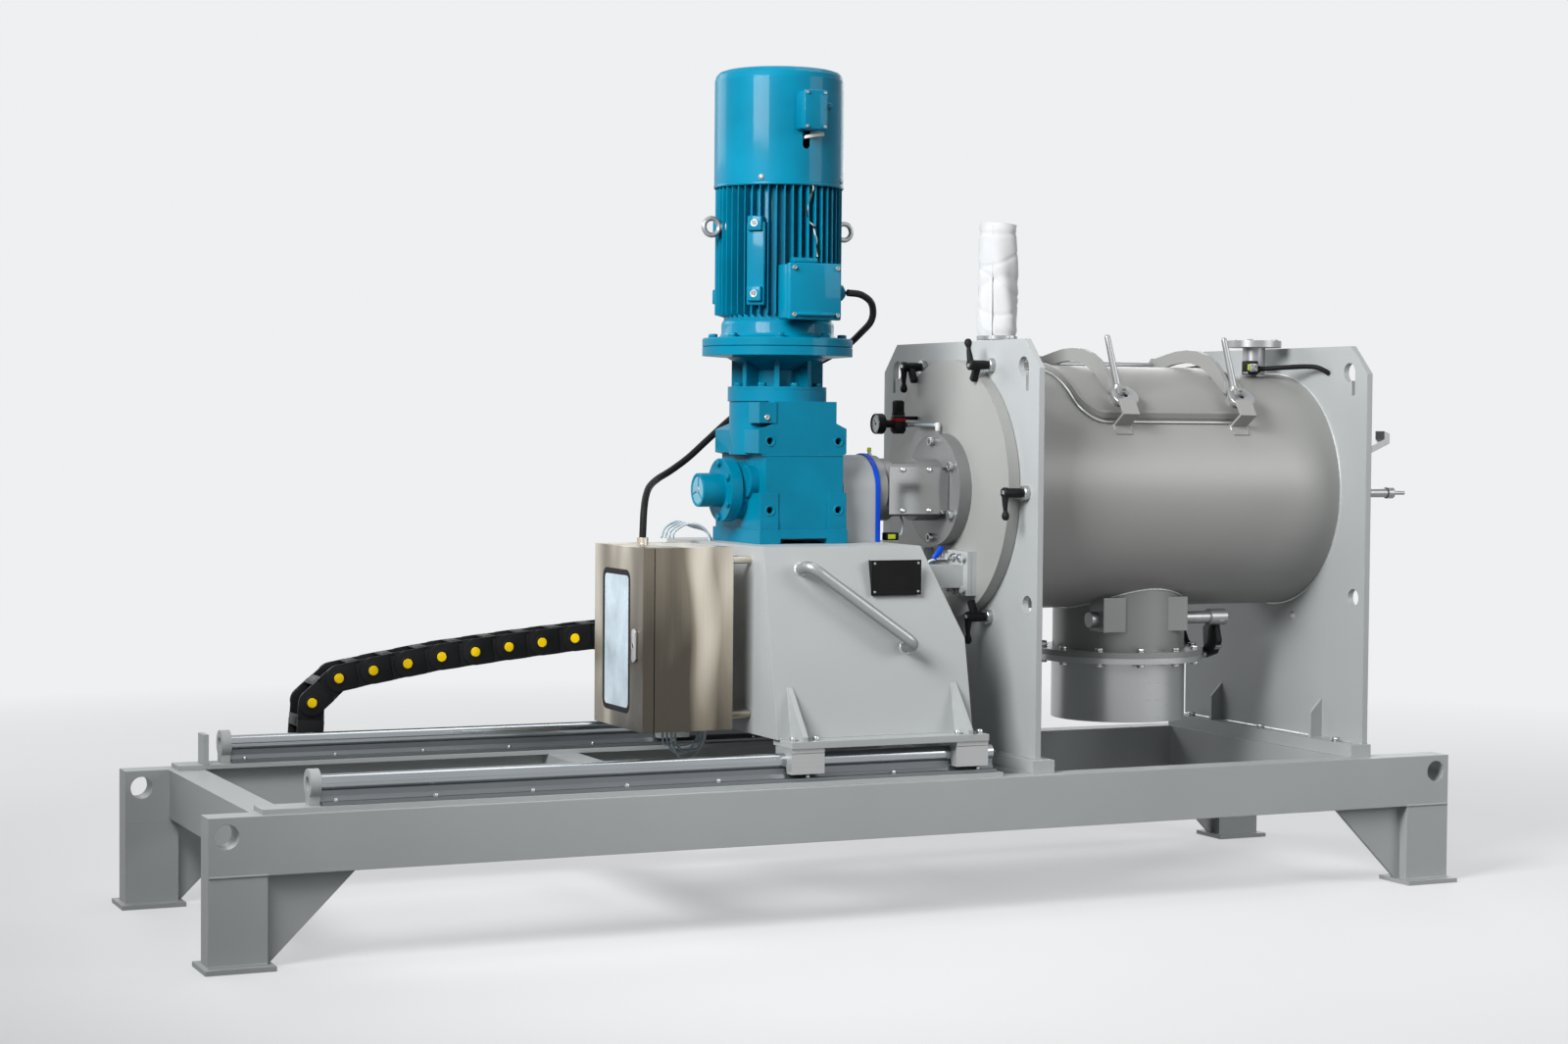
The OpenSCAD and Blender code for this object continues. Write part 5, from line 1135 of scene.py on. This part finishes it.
sleeve = Body(sleeve_white).add(sock()).done("filter_sock", "base", "sleeve_cloth", ["filter_sleeve"], sharp=60)
felt = sleeve.modifiers.new("felt", "SOLIDIFY")
felt.thickness, felt.offset = 0.0016, -1
trim = sock_trim().done("sock_band", "base", "bright_steel")

# %% [markdown]
# Two cables cross open air: the power cable rises from the enclosure behind the gearbox to the motor,
# and a thin one joins the hatch switch to the right end plate.

# %% Cables
def cable(name, r, body, node_name, route):
    route = eased(route, 8)
    path = [p / 1000 for p in route]
    length = sum((b - a).length for a, b in zip(path, path[1:]))
    obj = Body(black_rubber).add(tube(route, r, 16)).done(name, body, "black_rubber", [node_name], 50)
    print(name, round(length, 3), "m")

cable("power_lead", 8, "carriage", "power_cable", [
    (-433, -26, 841), (-432, -26, 868), (-428, -20, 900), (-414, 4, 932), (-390, 40, 955), (-352, 84, 972),
    (-306, 118, 990), (-252, 142, 1020), (-196, 158, 1062), (-136, 166, 1110), (-70, 168, 1160), (-4, 160, 1206),
    (50, 134, 1236), (90, 94, 1262), (116, 44, 1290), (124, -10, 1318), (118, -70, 1340), (100, -120, 1362),
    (74, -158, 1384), (36, -184, 1398), (0, -190, 1401)])
cable("switch_lead", 6, "base", "switch_cable", [
    (1186.3, -84, 1248), (1204, -92, 1249), (1226, -116, 1251), (1246, -150, 1253), (1262, -185, 1254),
    (1276, -212, 1252), (1288, -228, 1244), (1297.5, -236, 1236)])

# %% [markdown]
# A pale floor and a wide backdrop, white to the camera and to gloss, with big soft lamps. The key hangs
# high at the left and rakes along the machine, and a broad front light from the right fills the end
# plates and the drum, as in the photograph. Two more lamps lift the side that the camera doesn't see.

# %% Floor, backdrop and light
BACKDROP = {"Color": (0.86, 0.87, 0.88, 1), "Strength": 1.0}

def studio_floor():
    p = Paint("floor_white")
    far = p.node("ShaderNodeVectorMath", {0: p.place}, operation="LENGTH")["Value"].span(2.4, 5.5)
    rays = p.node("ShaderNodeLightPath")
    seen = rays["Is Camera Ray"].most(rays["Is Glossy Ray"])
    pale = p.blend(p.cloud(2, 2), (0.80, 0.80, 0.80), (0.82, 0.82, 0.82))
    p.finish(color=p.blend(seen, (0.14, 0.14, 0.14), pale), rough=0.85)
    glow = p.node("ShaderNodeEmission", BACKDROP)[0]
    p.close("Material Output", ((far * 0.5 + 0.5) * seen, Field(p, p.shader.outputs[0]), glow))
    return p.material

floor_mesh = bpy.data.meshes.new("studio_floor")
corners = [(-30, -30), (30, -30), (30, 30), (-30, 30)]
floor_mesh.from_pydata([(x, y, -0.0005) for x, y in corners], [], [(0, 1, 2, 3)])
floor_mesh.materials.append(studio_floor())
placed("studio_floor", floor_mesh)

world = bpy.data.worlds.new("studio")
bpy.context.scene.world = world
world.use_nodes = True
sky = Nodes(world.node_tree)
sky.tree.nodes.remove(sky.tree.nodes["Background"])
room = sky.node("ShaderNodeBackground", {"Color": (0.9, 0.92, 0.95, 1), "Strength": 0.09})[0]
bright = sky.node("ShaderNodeBackground", BACKDROP)[0]
rays = sky.node("ShaderNodeLightPath")
seen = rays["Is Camera Ray"].most(rays["Is Glossy Ray"]).most(rays["Is Transmission Ray"])
sky.close("World Output", (seen, room, bright))

def softbox(name, place, aim, size, power, spread=180):
    data = bpy.data.lights.new(name, "AREA")
    data.shape, data.energy, data.spread = "RECTANGLE", power, radians(spread)
    data.size, data.size_y = size
    lamp = placed(name, data)
    lamp.location = place
    lamp.rotation_euler = (Vector(aim) - Vector(place)).to_track_quat("-Z", "Y").to_euler()

softbox("key", (-2.5, -1.7, 2.7), (1.2, 0, 0.9), (1.6, 1.4), 62, 95)
softbox("front", (3.5, -3.7, 2.3), (1.2, 0, 0.6), (2.4, 2.0), 74)
softbox("top", (0.9, 0.3, 4.2), (0.7, 0, 0.8), (2.6, 1.4), 30)
softbox("rim", (-2.2, 3.6, 2.8), (0.3, 0, 0.9), (2.5, 1.5), 60)
softbox("back", (3.8, 3.4, 2.6), (0.9, 0, 0.8), (2.2, 1.6), 36)

# %% Close the scene
bpy.context.scene.view_settings.view_transform = "Standard"
bpy.context.view_layer.update()
